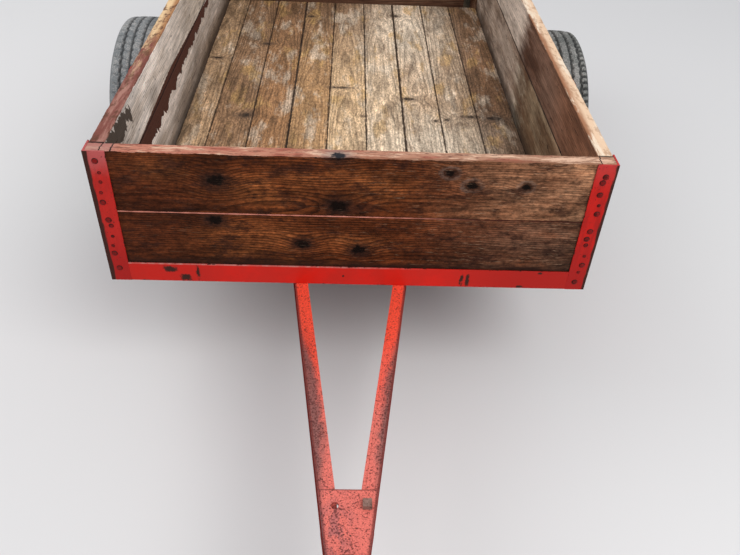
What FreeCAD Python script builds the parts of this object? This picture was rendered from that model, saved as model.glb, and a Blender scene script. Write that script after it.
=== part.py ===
import FreeCAD, Part
import math
import os
import re
from Sketcher import Constraint

# A two-wheeled utility trailer: a steel-framed wooden box on one sprung axle, with a V tongue.
# Millimetres, +Z up, the ground at z = 0, the tongue towards -Y, the origin under the middle.

# Driving dimensions, each an alias of one cell.
SIZES = {
    # the wooden box
    "inside_width": 1219.2, "inside_length": 2087, "wall_height": 376.6, "deck_over_axle": 85,
    "front_wall": 38, "side_wall": 38, "gate_thick": 38, "gate_clear": 5, "seat_gap": 0.3,
    "front_seam": 201.6, "side_seam": 216, "gate_seam": 201.6,
    "plank_pitch": 139.7, "plank_gap": 1.5, "plank_thick": 19.2, "plank_end_gap": 1,
    # steel angles
    "steel": 4.8, "post_leg": 54, "rail_leg": 60, "rear_post_leg": 76, "guide_leg": 25,
    "cross_leg": 50, "stake_width": 38, "stake_drop": 8, "strap_width": 31, "strap_gap": 5.6,
    # places along the box, from the front boards' outer face
    "tongue_cross": 450, "cross_gap": 12, "end_cross_gap": 2.8,
    "front_stake": 480, "rear_stake": 1640, "axle_setback": 1110,
    # the tongue: two bars that meet, and the plates that cover them there
    "bar_depth": 76.2, "bar_flange": 35.8, "bar_web": 4.3, "bar_flange_thick": 6.9,
    "bar_spread": 136, "bar_angle": 7.77, "bar_tip_gap": 0.6,
    "shoulder_back": 20, "plate_taper": 173, "plate_margin": 1, "plate_half_nose": 38,
    "plate_thick": 8, "under_inset": 48,
    "tube_width": 63.5, "tube_wall": 6.4, "tube_gap": 2, "tube_length": 93,
    "bolt_inset": 38, "bolt_in": 0.8, "hole_in": 12.8, "bolt_hole": 16, "bolt_play": 0.1,
    "bolt_head": 19, "bolt_head_thick": 12, "bolt_tail": 14,
    # the ball coupler
    "nose_beyond": 89, "socket_wall": 8, "socket_bore": 52, "socket_straight": 24,
    "neck_width": 60, "neck_height": 40, "neck_length": 75, "base_length": 140,
    "base_thick": 6, "coupler_skin": 6, "latch_width": 22, "latch_thick": 5, "latch_length": 96,
    "latch_back": 32, "latch_rise": 8, "latch_tilt": 8,
    # the prop leg
    "prop_back": 15, "prop_tube": 38, "prop_wall": 3, "prop_drop": 32, "prop_rake": 4,
    "prop_pin": 16, "pin_head": 24, "pin_head_thick": 9, "pin_play": 0.05, "boss_wall": 4,
    "ear_thick": 6, "ear_gap": 2, "ear_width": 52, "stop_height": 30.4,
    "foot_width": 80, "foot_length": 70, "foot_thick": 6,
    # axle and springs
    "axle_tube": 51, "axle_shoulder_gap": 8, "spindle": 34.9, "spindle_reach": 30,
    "spring_in": 32.4, "spring_width": 45, "leaf_thick": 7, "leaf_count": 3, "spring_radius": 1415,
    "spring_half": 335, "leaf_step": 105, "seat_length": 60, "seat_thick": 4, "seat_relief": 0.35,
    "eye_radius": 15, "eye_bolt": 16, "hanger_thick": 5, "hanger_width": 56, "hanger_gap": 1,
    "hanger_foot": 24, "hanger_bolt_tail": 7,
    "clamp_bar": 9, "clamp_gap": 1, "clamp_edge": 4, "clamp_plate": 8, "clamp_half": 46,
    "clamp_tail": 16,
    # the wheels
    "tyre_clear": 15.1, "tyre_radius": 345, "tyre_width": 197, "tread_width": 150,
    "shoulder_drop": 34, "foot_width_tyre": 173, "foot_rise": 10.4, "bead_gap": 0.4,
    "rim_radius": 190.5, "rim_inside": 140, "rim_lip": 17.5, "rim_skin": 4, "rim_flare": 6,
    "disc_skin": 5, "dish_depth": 22, "nave_edge": 8,
    "windows": 8, "window_height": 34, "window_inner": 20, "window_outer": 36,
    "hub_face": 72, "hub_flange": 9, "hub_barrel": 32.9, "hub_back": 50, "hub_front": 54,
    "hub_play": 0.05, "hub_bore_gap": 0.1, "cap_skin": 4,
}

# Places worked out from them; a later one may use those before it.
PLACES = {
    "deck_height": "tyre_radius + deck_over_axle",
    "wall_top": "deck_height + wall_height",
    "flange_z": "deck_height - plank_thick",
    "rail_z": "flange_z - steel",
    "half_inside": "inside_width / 2",
    "half_outer": "half_inside + side_wall",
    "half_steel": "half_outer + steel",
    "post_half": "half_steel - post_leg",
    "rear_post_half": "half_steel - rear_post_leg",
    "gate_in": "front_wall + inside_length",
    "rear_inner": "gate_in + gate_thick + gate_clear",
    "rear_outer": "rear_inner + steel",
    "wheel_x": "half_steel + tyre_clear + tyre_width / 2",
    "spring_x": "half_steel - spring_in",
    "second_cross": "axle_setback - spring_half + hanger_width / 2 + cross_gap",
    "third_cross": "axle_setback + spring_half - hanger_width / 2 - cross_gap - steel",
    "bar_slope": "tan(bar_angle * 1deg)",
    "bar_half": "bar_flange / 2 / cos(bar_angle * 1deg)",
    "bar_reach": "(bar_spread - bar_half - bar_tip_gap) / bar_slope",
    "plate_shoulder": "bar_reach - shoulder_back",
    "plate_start": "plate_shoulder - plate_taper",
    "plate_nose": "bar_reach + tube_gap + tube_length",
    "plate_half_rear": "bar_spread - plate_start * bar_slope + bar_half + plate_margin",
    "under_plate_start": "plate_start + under_inset",
    "bolt_reach": "plate_start + bolt_inset",
    "bolt_x": "bar_spread - bolt_reach * bar_slope - bolt_in",
    "hole_x": "bar_spread - bolt_reach * bar_slope - hole_in",
    "plate_z": "rail_z + plate_thick",
    "bar_low": "rail_z - bar_depth",
    "under_z": "bar_low - plate_thick",
    "pivot_z": "under_z - prop_drop",
    "prop_reach": "bar_reach - prop_back",
    "nose_reach": "plate_nose + nose_beyond",
    "front_y": "(nose_reach - rear_outer) / 2",
}


def tied(text, places_sheet="Places."):
    """The expression with each size and place led by its sheet's name."""
    def lead(found):
        word = found.group(0)
        if word in SIZES:
            return "Sizes." + word
        return places_sheet + word if word in PLACES else word
    return re.sub(r"[a-z][a-z_]*", lead, text)


doc = FreeCAD.newDocument("utility_trailer")
sizes = doc.addObject("Spreadsheet::Sheet", "Sizes")
for row, (word, number) in enumerate(SIZES.items(), start=1):
    sizes.set(f"A{row}", word)
    sizes.set(f"B{row}", str(number))
    sizes.setAlias(f"B{row}", word)
doc.recompute()
places = doc.addObject("Spreadsheet::Sheet", "Places")
for row, (word, formula) in enumerate(PLACES.items(), start=1):
    places.set(f"A{row}", word)
    places.set(f"B{row}", "=" + tied(formula, places_sheet=""))
    places.setAlias(f"B{row}", word)
doc.recompute()

size = {word: float(sizes.get(word)) for word in SIZES}
place = {word: float(places.get(word)) for word in PLACES}
V = FreeCAD.Vector
subparts = []


def keep(piece, name):
    """Name a finished sub-part and list it."""
    piece.Label = name
    subparts.append(piece)
    return piece


def tie(piece, **texts):
    """Bind properties of a piece to expressions over the sheets."""
    for prop, text in texts.items():
        piece.setExpression(prop.replace("__", "."), tied(text))
    return piece


def box(name, x, y, z, length, width, height):
    """A box from its low corner and its three sizes, all as expressions; y from the front face."""
    piece = doc.addObject("Part::Box", name)
    return tie(piece, Length=length, Width=width, Height=height, Placement__Base__x=x,
               Placement__Base__y="front_y + " + y, Placement__Base__z=z)


def wedge(name, y_low, y_high, low_half, high_half, z_low, z_high):
    """A prism whose x range runs from one pair of limits at y_low to another at y_high."""
    piece = doc.addObject("Part::Wedge", name)
    return tie(piece, Ymin="front_y + " + y_low, Ymax="front_y + " + y_high, Xmin=low_half[0],
               Xmax=low_half[1], X2min=high_half[0], X2max=high_half[1], Zmin=z_low, Z2min=z_low,
               Zmax=z_high, Z2max=z_high)


def rod(name, radius, length, x, y, z, axis=V(0, 0, 1)):
    """A round bar from its low end along an axis."""
    piece = doc.addObject("Part::Cylinder", name)
    piece.Placement = FreeCAD.Placement(V(), FreeCAD.Rotation(V(0, 0, 1), axis))
    return tie(piece, Radius=radius, Height=length, Placement__Base__x=x,
               Placement__Base__y="front_y + " + y, Placement__Base__z=z)


def cut(name, base, *tools):
    """The base less its tools, one after the other."""
    for index, tool in enumerate(tools):
        piece = doc.addObject("Part::Cut", f"{name}_cut{index}")
        piece.Base, piece.Tool = base, tool
        base = piece
    return base


def fuse(name, *pieces):
    piece = doc.addObject("Part::MultiFuse", name)
    piece.Shapes = list(pieces)
    return piece


def group(name, pieces):
    """Like pieces that don't touch, kept as one node."""
    piece = doc.addObject("Part::Compound", name)
    piece.Links = list(pieces)
    return piece


def shaped(name, shape):
    piece = doc.addObject("Part::Feature", name)
    piece.Shape = shape
    return piece


def ell(name, legs, skin, length, corner, along_u, along_v):
    """A steel angle: an L profile padded along its length, its corner and legs placed."""
    body = doc.addObject("PartDesign::Body", name)
    sketch = body.newObject("Sketcher::SketchObject", name + "_profile")
    plane = [item for item in body.Origin.OriginFeatures if item.Role == "XY_Plane"][0]
    sketch.AttachmentSupport = [(plane, "")]
    sketch.MapMode = "FlatFace"
    leg_u, leg_v, thick = 50, 50, 5  # a first drawing; the constraints below set the real sizes
    points = [(0, 0), (leg_u, 0), (leg_u, thick), (thick, thick), (thick, leg_v), (0, leg_v)]
    for index, point in enumerate(points):
        after = points[(index + 1) % len(points)]
        sketch.addGeometry(Part.LineSegment(V(*point), V(*after)), False)
    for index in range(6):
        sketch.addConstraint(Constraint("Coincident", index, 2, (index + 1) % 6, 1))
        kind = "Horizontal" if index % 2 == 0 else "Vertical"
        sketch.addConstraint(Constraint(kind, index))
    sketch.addConstraint(Constraint("Coincident", 0, 1, -1, 1))
    measures = [("leg_u", "DistanceX", (0, 1, 0, 2), leg_u, legs[0]),
                ("skin_u", "DistanceY", (1, 1, 1, 2), thick, skin),
                ("leg_v", "DistanceY", (5, 2, 5, 1), leg_v, legs[1]),
                ("skin_v", "DistanceX", (4, 2, 4, 1), thick, skin)]
    for word, kind, ends, number, text in measures:
        index = sketch.addConstraint(Constraint(kind, *ends, number))
        sketch.renameConstraint(index, word)
        sketch.setExpression("Constraints." + word, tied(text))
    pad = body.newObject("PartDesign::Pad", name + "_pad")
    pad.Profile = sketch
    pad.setExpression("Length", tied(length))
    u, v = V(*along_u), V(*along_v)
    body.Placement = FreeCAD.Placement(V(), FreeCAD.Rotation(u, v, u.cross(v), "XYZ"))
    return tie(body, Placement__Base__x=corner[0], Placement__Base__y="front_y + " + corner[1],
               Placement__Base__z=corner[2])


def mirrored(shape):
    return shape.mirror(V(0, 0, 0), V(1, 0, 0))


X, Y, Z = (1, 0, 0), (0, 1, 0), (0, 0, 1)
BACK_X, BACK_Y, DOWN = (-1, 0, 0), (0, -1, 0), (0, 0, -1)


def corner_posts():
    """Angles outside the box's four corners; the rear ones also hold the gate."""
    height = "wall_top - rail_z"
    # columns: name, leg along u, leg along v, corner x, corner y, u, v
    rows = [
        ("post_front_left", "post_leg", "post_leg", "-half_steel", "-steel", X, Y),
        ("post_front_right", "post_leg", "post_leg", "half_steel", "-steel", Y, BACK_X),
        ("post_rear_right", "rear_post_leg", "post_leg", "half_steel", "rear_outer", BACK_X, BACK_Y),
        ("post_rear_left", "post_leg", "rear_post_leg", "-half_steel", "rear_outer", BACK_Y, X),
    ]
    for name, leg_u, leg_v, x, y, u, v in rows:
        y = y if not y.startswith("-") else f"({y})"
        keep(ell(name, (leg_u, leg_v), "steel", height, (x, y, "rail_z"), u, v), name)


def rails():
    """The base frame's angles, each lying under the boards with one leg up outside them."""
    side_length = "rear_outer - post_leg - post_leg + steel"
    # columns: name, length, corner x, corner y, u, v
    rows = [
        ("rail_front", "2 * post_half", "-post_half", "(-steel)", Y, Z),
        ("rail_rear", "2 * rear_post_half", "rear_post_half", "rear_outer", BACK_Y, Z),
        ("rail_left", side_length, "-half_steel", "rear_outer - post_leg", X, Z),
        ("rail_right", side_length, "half_steel", "post_leg - steel", BACK_X, Z),
    ]
    for name, length, x, y, u, v in rows:
        keep(ell(name, ("post_leg", "rail_leg"), "steel", length, (x, y, "rail_z"), u, v), name)


def cross_members():
    """Angles across the frame under the planks; the tongue ends at the first."""
    places_along = ["tongue_cross", "second_cross", "third_cross",
                    "rear_outer - post_leg - cross_leg - end_cross_gap"]
    bars = [ell(f"cross_{index}", ("cross_leg", "cross_leg"), "steel", "2 * post_half",
                ("post_half", y, "flange_z"), Y, DOWN)
            for index, y in enumerate(places_along, start=1)]
    keep(group("cross_members", bars), "cross_members")


def floor():
    """Planks along the box, laid from the right wall, the last one narrow."""
    count = int(size["inside_width"] // size["plank_pitch"]) + 1
    planks = []
    for index in range(count):
        last = index == count - 1
        width = f"inside_width - {index} * plank_pitch" if last else "plank_pitch"
        x = "-half_inside" if last else f"half_inside - {index + 1} * plank_pitch"
        planks.append(box(f"plank_{index + 1}", f"{x} + plank_gap / 2", "front_wall + plank_end_gap",
                          "flange_z", f"{width} - plank_gap",
                          "inside_length - gate_clear - plank_end_gap", "plank_thick"))
    keep(group("floor_planks", planks), "floor_planks")


def walls():
    """Two boards high on every side; the front boards cover the side boards' ends."""
    side_length = "rear_inner - front_wall"
    across, gate = "2 * half_outer", "2 * (half_inside - gate_clear)"
    gate_x = "-(half_inside - gate_clear)"
    low, high = "deck_height + {0}_seam - flange_z", "wall_height - {0}_seam"
    # columns: name, x, y, z, length, width, height
    rows = [
        ("front_board_lower", "-half_outer", "0", "flange_z", across, "front_wall",
         low.format("front")),
        ("front_board_upper", "-half_outer", "0", "deck_height + front_seam", across, "front_wall",
         high.format("front")),
        ("left_board_lower", "-half_outer", "front_wall", "flange_z", "side_wall", side_length,
         low.format("side")),
        ("left_board_upper", "-half_outer", "front_wall", "deck_height + side_seam", "side_wall",
         side_length, high.format("side")),
        ("right_board_lower", "half_inside", "front_wall", "flange_z", "side_wall", side_length,
         low.format("side")),
        ("right_board_upper", "half_inside", "front_wall", "deck_height + side_seam", "side_wall",
         side_length, high.format("side")),
        ("gate_board_lower", gate_x, "gate_in", "flange_z + seat_gap", gate, "gate_thick",
         low.format("gate") + " - seat_gap"),
        ("gate_board_upper", gate_x, "gate_in", "deck_height + gate_seam", gate, "gate_thick",
         high.format("gate")),
    ]
    for row in rows:
        keep(box(*row), row[0])


def gate_fittings():
    """Guide angles inside the box that the gate slides behind, and the gate's two straps."""
    guide = ("guide_leg", "guide_leg")
    height = "wall_height"
    keep(ell("guide_left", guide, "steel", height,
             ("-half_inside", "gate_in - gate_clear", "deck_height"), BACK_Y, X), "guide_left")
    keep(ell("guide_right", guide, "steel", height,
             ("half_inside", "gate_in - gate_clear", "deck_height"), BACK_X, BACK_Y), "guide_right")
    inner = "half_inside - guide_leg - strap_gap"
    straps = [box(f"strap_{side}", x, "gate_in - steel", "deck_height", "strap_width", "steel",
                  "wall_height")
              for side, x in (("left", f"-({inner})"), ("right", f"{inner} - strap_width"))]
    keep(group("gate_straps", straps), "gate_straps")


def stakes():
    """Flat uprights outside the side boards, two on each side, standing on the rails."""
    for side, x in (("left", "-half_steel"), ("right", "half_outer")):
        pair = [box(f"stake_{side}_{where}", x, f"{where}_stake - stake_width / 2",
                    "rail_z + rail_leg", "steel", "stake_width",
                    "wall_top - stake_drop - rail_z - rail_leg")
                for where in ("front", "rear")]
        keep(group(f"stakes_{side}", pair), f"stakes_{side}")


def bar_centre(reach):
    """Half the distance between the tongue bars, at a reach forward of the front rail."""
    return f"(bar_spread - ({reach}) * bar_slope)"


def tongue_bars():
    """Two channels, webs inwards, closing to a V and butted on the first cross member."""
    rear, front = bar_centre("-tongue_cross"), bar_centre("bar_reach")
    for side, sign in (("left", "-"), ("right", "")):
        def limits(centre, low, high):
            ends = (f"{sign}({centre} + {low})", f"{sign}({centre} + {high})")
            return ends if not sign else ends[::-1]
        name = f"tongue_bar_{side}"
        whole = wedge(name + "_outer", "(-bar_reach)", "tongue_cross",
                      limits(front, "(-bar_half)", "bar_half"),
                      limits(rear, "(-bar_half)", "bar_half"), "bar_low", "rail_z")
        inner = "(bar_web - bar_half)"
        hollow = wedge(name + "_hollow", "(-bar_reach - 1)", "(tongue_cross + 1)",
                       limits(bar_centre("bar_reach + 1"), inner, "(bar_half + 1)"),
                       limits(bar_centre("-tongue_cross - 1"), inner, "(bar_half + 1)"),
                       "bar_low + bar_flange_thick", "rail_z - bar_flange_thick")
        hole = rod(name + "_hole", "bolt_hole / 2", "bar_flange_thick + 2",
                   "-hole_x" if sign else "bolt_x", "(-bolt_reach)",
                   "rail_z - bar_flange_thick - 1")
        keep(cut(name, whole, hollow, hole), name)


def tongue_plates():
    """The tapered plates over and under the bars' front ends, and the tube between them."""
    # columns: name, where it starts, z low, has bolt holes
    for name, start, z_low, drilled in (("tongue_plate", "plate_start", "rail_z", True),
                                        ("tongue_under_plate", "under_plate_start", "under_z", False)):
        slope = "(plate_half_rear - plate_half_nose) / (plate_shoulder - plate_start)"
        wide = f"(plate_half_nose + (plate_shoulder - {start}) * {slope})"
        high = f"{z_low} + plate_thick"
        taper = wedge(name + "_taper", "(-plate_shoulder)", f"(-{start})",
                      ("-plate_half_nose", "plate_half_nose"), (f"-{wide}", wide), z_low, high)
        nose = box(name + "_nose", "-plate_half_nose", "(-plate_nose)", z_low, "2 * plate_half_nose",
                   "plate_nose - plate_shoulder", "plate_thick")
        whole = fuse(name + "_whole", taper, nose)
        holes = [rod(f"{name}_{spot}", "bolt_hole / 2", "plate_thick + 2", x, "(-bolt_reach)",
                     f"{z_low} - 1")
                 for spot, x in (("hole", "-hole_x"), ("bolt_hole", "bolt_x"))] if drilled else []
        keep(cut(name, whole, *holes), name)
    outer = box("tongue_tube_outer", "-tube_width / 2", "(-plate_nose)", "bar_low", "tube_width",
                "tube_length", "bar_depth")
    hollow = box("tongue_tube_hollow", "-tube_width / 2 + tube_wall", "(-plate_nose - 1)",
                 "bar_low + tube_wall", "tube_width - 2 * tube_wall",
                 "tube_length + 2", "bar_depth - 2 * tube_wall")
    keep(cut("tongue_tube", outer, hollow), "tongue_tube")


def tongue_bolt():
    """The one square-headed bolt left of two; its twin's hole is empty."""
    head = box("bolt_head", "bolt_x - bolt_head / 2", "(-bolt_reach - bolt_head / 2)", "plate_z",
               "bolt_head", "bolt_head", "bolt_head_thick")
    shank = rod("bolt_shank", "bolt_hole / 2 - bolt_play",
                "plate_thick + bar_flange_thick + bolt_tail", "bolt_x", "(-bolt_reach)",
                "plate_z - plate_thick - bar_flange_thick - bolt_tail")
    keep(fuse("tongue_bolt", head, shank), "tongue_bolt")


def coupler():
    """A straight ball coupler: base on the plate, hollow neck and a round head with its socket."""
    dome = size["socket_bore"] / 2 + size["socket_wall"]
    nose_y = place["front_y"] - place["plate_nose"]
    ball_y = place["front_y"] - place["nose_reach"] + dome
    low, straight = place["plate_z"], size["socket_straight"]
    skin = size["coupler_skin"]
    socket = size["socket_bore"] / 2

    def head(radius, z_low):
        """A turned head whose crown closes over the ball in two slopes."""
        top, bend = low + straight, radius / math.sqrt(2)
        outline = [V(0, 0, z_low), V(radius, 0, z_low), V(radius, 0, top), V(bend, 0, top + bend),
                   V(0, 0, top + radius)]
        turned_head = Part.Face(Part.makePolygon(outline + outline[:1])).revolve(V(), V(0, 0, 1), 360)
        turned_head.translate(V(0, ball_y, 0))
        return turned_head

    def neck(inset, z_low):
        """A channel from the base to the head, narrowing forwards."""
        rear_y = nose_y + size["neck_length"] - inset
        half_rear, half_front = size["plate_half_nose"] - inset, size["neck_width"] / 2 - inset
        rear_z = low + size["neck_height"] - inset
        front_z = rear_z + skin
        return Part.makeLoft([
            Part.makePolygon([V(-half, y, z_low), V(half, y, z_low), V(half, y, z_top),
                              V(-half, y, z_top), V(-half, y, z_low)])
            for half, y, z_top in ((half_rear, rear_y, rear_z), (half_front, ball_y, front_z))],
            True)
    base = Part.makeBox(2 * size["plate_half_nose"], size["base_length"], size["base_thick"],
                        V(-size["plate_half_nose"], nose_y, low))
    slab = Part.makeBox(4 * dome, 4 * dome, 2 * dome, V(-2 * dome, ball_y - 2 * dome, low - 2 * dome))
    outer = head(dome, low).fuse([neck(0, low), base]).cut(slab)
    pocket = neck(skin, low + size["base_thick"])
    body = outer.cut([head(socket, low - 1), pocket]).removeSplitter()
    keep(shaped("coupler_body", body), "coupler_body")

    pivot_y = ball_y + dome + size["latch_back"]
    pivot_z = low + size["neck_height"] + size["latch_rise"]
    lever = Part.makeBox(size["latch_width"], size["latch_length"], size["latch_thick"],
                         V(-size["latch_width"] / 2, pivot_y, pivot_z))
    boss = Part.makeCylinder(size["latch_rise"], size["latch_width"],
                             V(-size["latch_width"] / 2, pivot_y, pivot_z), V(1, 0, 0))
    lever.rotate(V(0, pivot_y, pivot_z), V(1, 0, 0), size["latch_tilt"])
    keep(shaped("coupler_latch", lever.fuse(boss).cut(outer)), "coupler_latch")


def prop_leg():
    """The swinging leg under the tongue, raked a little forward onto its stop."""
    front_y = place["front_y"]
    pivot = V(0, front_y - place["prop_reach"], place["pivot_z"])
    half, pin = size["prop_tube"] / 2, size["prop_pin"] / 2
    ear_in = half + size["ear_gap"]
    ear_thick, ear_half = size["ear_thick"], size["ear_width"] / 2
    under = place["under_z"]
    ears = []
    for x in (ear_in, -ear_in - ear_thick):
        plate = Part.makeBox(ear_thick, 2 * ear_half, under - pivot.z,
                             V(x, pivot.y - ear_half, pivot.z))
        round_end = Part.makeCylinder(ear_half, ear_thick, V(x, pivot.y, pivot.z), V(1, 0, 0))
        ears.append(plate.fuse(round_end))
    turn = -size["prop_rake"]
    stop = Part.makeBox(2 * ear_in, ear_thick, size["stop_height"],
                        V(-ear_in, pivot.y - half - size["seat_gap"] - ear_thick,
                          pivot.z - size["stop_height"]))
    stop.rotate(pivot, V(1, 0, 0), turn)
    bracket = ears[0].fuse([ears[1], stop])
    bore = Part.makeCylinder(pin, 4 * half, V(-2 * half, pivot.y, pivot.z), V(1, 0, 0))
    keep(shaped("prop_bracket", bracket.cut(bore).removeSplitter()), "prop_bracket")

    shank = Part.makeCylinder(pin, 2 * (ear_in + ear_thick), V(-ear_in - ear_thick, pivot.y, pivot.z),
                              V(1, 0, 0))
    cap = Part.makeBox(size["pin_head_thick"], size["pin_head"], size["pin_head"],
                       V(ear_in + ear_thick, pivot.y - size["pin_head"] / 2,
                         pivot.z - size["pin_head"] / 2))
    keep(shaped("prop_pin", shank.fuse(cap)), "prop_pin")

    rake = math.radians(size["prop_rake"])
    foot_top = size["foot_thick"]
    reach = (pivot.z - foot_top) / math.cos(rake)
    tube = Part.makeBox(2 * half, 2 * half, reach + half,
                        V(-half, pivot.y - half, pivot.z - reach - half))
    wall = size["prop_wall"]
    inner = Part.makeBox(2 * (half - wall), 2 * (half - wall), 3 * reach,
                         V(wall - half, pivot.y - half + wall, pivot.z - 2 * reach))
    top = Part.makeCylinder(half, 2 * half, V(-half, pivot.y, pivot.z), V(1, 0, 0))
    top_hollow = Part.makeCylinder(half - wall, 2 * (half - wall), V(wall - half, pivot.y, pivot.z),
                                   V(1, 0, 0))
    pin_hole = Part.makeCylinder(pin + size["pin_play"], 4 * half, V(-2 * half, pivot.y, pivot.z),
                                 V(1, 0, 0))
    boss = Part.makeCylinder(pin + size["boss_wall"], 2 * half, V(-half, pivot.y, pivot.z),
                             V(1, 0, 0))
    leg = tube.fuse(top).cut(inner.fuse(top_hollow)).fuse(boss).cut(pin_hole)
    leg.rotate(pivot, V(1, 0, 0), turn)
    floor_cut = Part.makeBox(8 * half, 12 * half, 4 * half, V(-4 * half, pivot.y - 6 * half,
                                                              foot_top - 4 * half))
    keep(shaped("prop_tube", leg.cut(floor_cut).removeSplitter()), "prop_tube")
    foot_y = pivot.y - (pivot.z - foot_top) * math.tan(rake)
    foot = Part.makeBox(size["foot_width"], size["foot_length"], foot_top,
                        V(-size["foot_width"] / 2, foot_y - size["foot_length"] / 2, 0))
    keep(shaped("prop_foot", foot), "prop_foot")


def axle():
    """A straight round tube with a spindle at each end and a seat over each spring."""
    y, z = place["front_y"] + size["axle_setback"], size["tyre_radius"]
    end = place["wheel_x"] - size["hub_back"] - size["axle_shoulder_gap"]
    radius = size["axle_tube"] / 2
    beam = Part.makeCylinder(radius, 2 * end, V(-end, y, z), V(1, 0, 0))
    reach = place["wheel_x"] + size["spindle_reach"]
    beam = beam.fuse(Part.makeCylinder(size["spindle"] / 2, 2 * reach, V(-reach, y, z), V(1, 0, 0)))
    for x in (-place["spring_x"], place["spring_x"]):
        seat = Part.makeBox(size["spring_width"], size["seat_length"], size["seat_thick"] + radius / 2,
                            V(x - size["spring_width"] / 2, y - size["seat_length"] / 2,
                              z - radius - size["seat_thick"]))
        beam = beam.fuse(seat)
    keep(shaped("axle", beam.removeSplitter()), "axle")


def leaf(radius, centre, half, x, width, thick):
    """One leaf: an arc strip below its centre of curvature, as wide as the spring."""
    angle = math.asin(half / radius)

    def arc(r):
        return [V(x, centre.y + r * math.sin(a), centre.z - r * math.cos(a))
                for a in (-angle, 0, angle)]
    upper, lower = arc(radius), arc(radius + thick)
    wire = Part.Wire([Part.Arc(*upper).toShape(), Part.LineSegment(upper[2], lower[2]).toShape(),
                      Part.Arc(*lower).toShape(), Part.LineSegment(lower[0], upper[0]).toShape()])
    return Part.Face(wire).extrude(V(width, 0, 0))


def springs():
    """Leaf springs slung under the axle, their eyes bolted in hangers below the side rails."""
    y, z = place["front_y"] + size["axle_setback"], size["tyre_radius"]
    top = z - size["axle_tube"] / 2 - size["seat_thick"] - size["seat_relief"]
    curve, thick, width = size["spring_radius"], size["leaf_thick"], size["spring_width"]
    centre = V(0, y, top + curve)
    leaves = int(size["leaf_count"])
    low = top - thick * leaves
    eye = size["eye_radius"]
    eye_at = curve + thick - eye
    bolt = size["eye_bolt"] / 2
    angle = math.asin(size["spring_half"] / curve)
    eyes = [V(0, y + side * eye_at * math.sin(angle), centre.z - eye_at * math.cos(angle))
            for side in (-1, 1)]
    hangers, clamps = [], []
    for side, sign in (("left", -1), ("right", 1)):
        start = sign * place["spring_x"] - width / 2
        pack = leaf(curve, centre, size["spring_half"], start, width, thick)
        for index in range(1, leaves):
            half = size["spring_half"] - index * size["leaf_step"]
            pack = pack.fuse(leaf(curve + index * thick, centre, half, start, width, thick))
        for spot in eyes:
            pack = pack.fuse(Part.makeCylinder(eye, width, V(start, spot.y, spot.z), V(1, 0, 0)))
        for spot in eyes:
            pack = pack.cut(Part.makeCylinder(bolt, width + 2, V(start - 1, spot.y, spot.z), V(1, 0, 0)))
        keep(shaped(f"spring_{side}", pack.removeSplitter()), f"spring_{side}")

        gap, plate, half_y = size["hanger_gap"], size["hanger_thick"], size["hanger_width"] / 2
        for spot in eyes:
            cheeks = []
            for x in (start - gap - plate, start + width + gap):
                foot = spot.z - size["hanger_foot"]
                side = [V(x, spot.y - half_y, place["rail_z"]), V(x, spot.y + half_y, place["rail_z"]),
                        V(x, spot.y + half_y, spot.z), V(x, spot.y + half_y / 2, foot),
                        V(x, spot.y - half_y / 2, foot), V(x, spot.y - half_y, spot.z)]
                cheeks.append(Part.Face(Part.makePolygon(side + side[:1])).extrude(V(plate, 0, 0)))
            tail = size["hanger_bolt_tail"]
            pin = Part.makeCylinder(bolt - size["pin_play"], width + 2 * (gap + plate + tail),
                                    V(start - gap - plate - tail, spot.y, spot.z), V(1, 0, 0))
            hangers.append(cheeks[0].fuse([cheeks[1], pin]).removeSplitter())

        bar, half_y = size["clamp_bar"], size["clamp_half"]
        tube = size["axle_tube"] / 2
        floor_z = low - size["clamp_plate"]
        reach = width / 2 + size["clamp_gap"] + bar
        middle = start + width / 2
        block = Part.makeBox(2 * reach + 2 * size["clamp_edge"], 2 * half_y, size["clamp_plate"],
                             V(middle - reach - size["clamp_edge"], y - half_y, floor_z))
        for x in (middle - reach, middle + reach - bar):
            hoop = Part.makeCylinder(tube + bar, bar, V(x, y, z), V(1, 0, 0))
            hoop = hoop.fuse(Part.makeBox(bar, 2 * (tube + bar), z - floor_z + size["clamp_tail"],
                                          V(x, y - tube - bar, floor_z - size["clamp_tail"])))
            slot = Part.makeBox(bar + 2, 2 * tube, z - floor_z + 2 * size["clamp_tail"],
                                V(x - 1, y - tube, floor_z - 2 * size["clamp_tail"]))
            inner = Part.makeCylinder(tube, bar + 2, V(x - 1, y, z), V(1, 0, 0))
            block = block.fuse(hoop.cut(slot.fuse(inner)))
        clamps.append(block.removeSplitter())
    keep(shaped("spring_hangers", Part.makeCompound(hangers)), "spring_hangers")
    keep(shaped("axle_clamps", Part.makeCompound(clamps)), "axle_clamps")


def turned(points):
    """A ring from a closed outline of (offset, radius) corners, turned about the axle."""
    spots = [V(offset, radius, 0) for offset, radius in points]
    return Part.Face(Part.makePolygon(spots + spots[:1])).revolve(V(0, 0, 0), V(1, 0, 0), 360)


def both_sides(points):
    """An outline's right half, joined to its mirror image."""
    return points + [(-offset, radius) for offset, radius in reversed(points)]


def tyre_ring():
    """A tyre's section: crown, shoulders, bulging sidewalls and beads inside the rim's lips."""
    radius, seat = size["tyre_radius"], size["rim_radius"]
    inside, lip = size["rim_inside"] / 2 - size["bead_gap"], seat + size["rim_lip"]
    return turned(both_sides([
        (size["tread_width"] / 2, radius), (size["tyre_width"] / 2, radius - size["shoulder_drop"]),
        (size["foot_width_tyre"] / 2, lip + size["foot_rise"]), (inside, lip),
        (inside, seat + size["bead_gap"]),
    ]))


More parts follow.
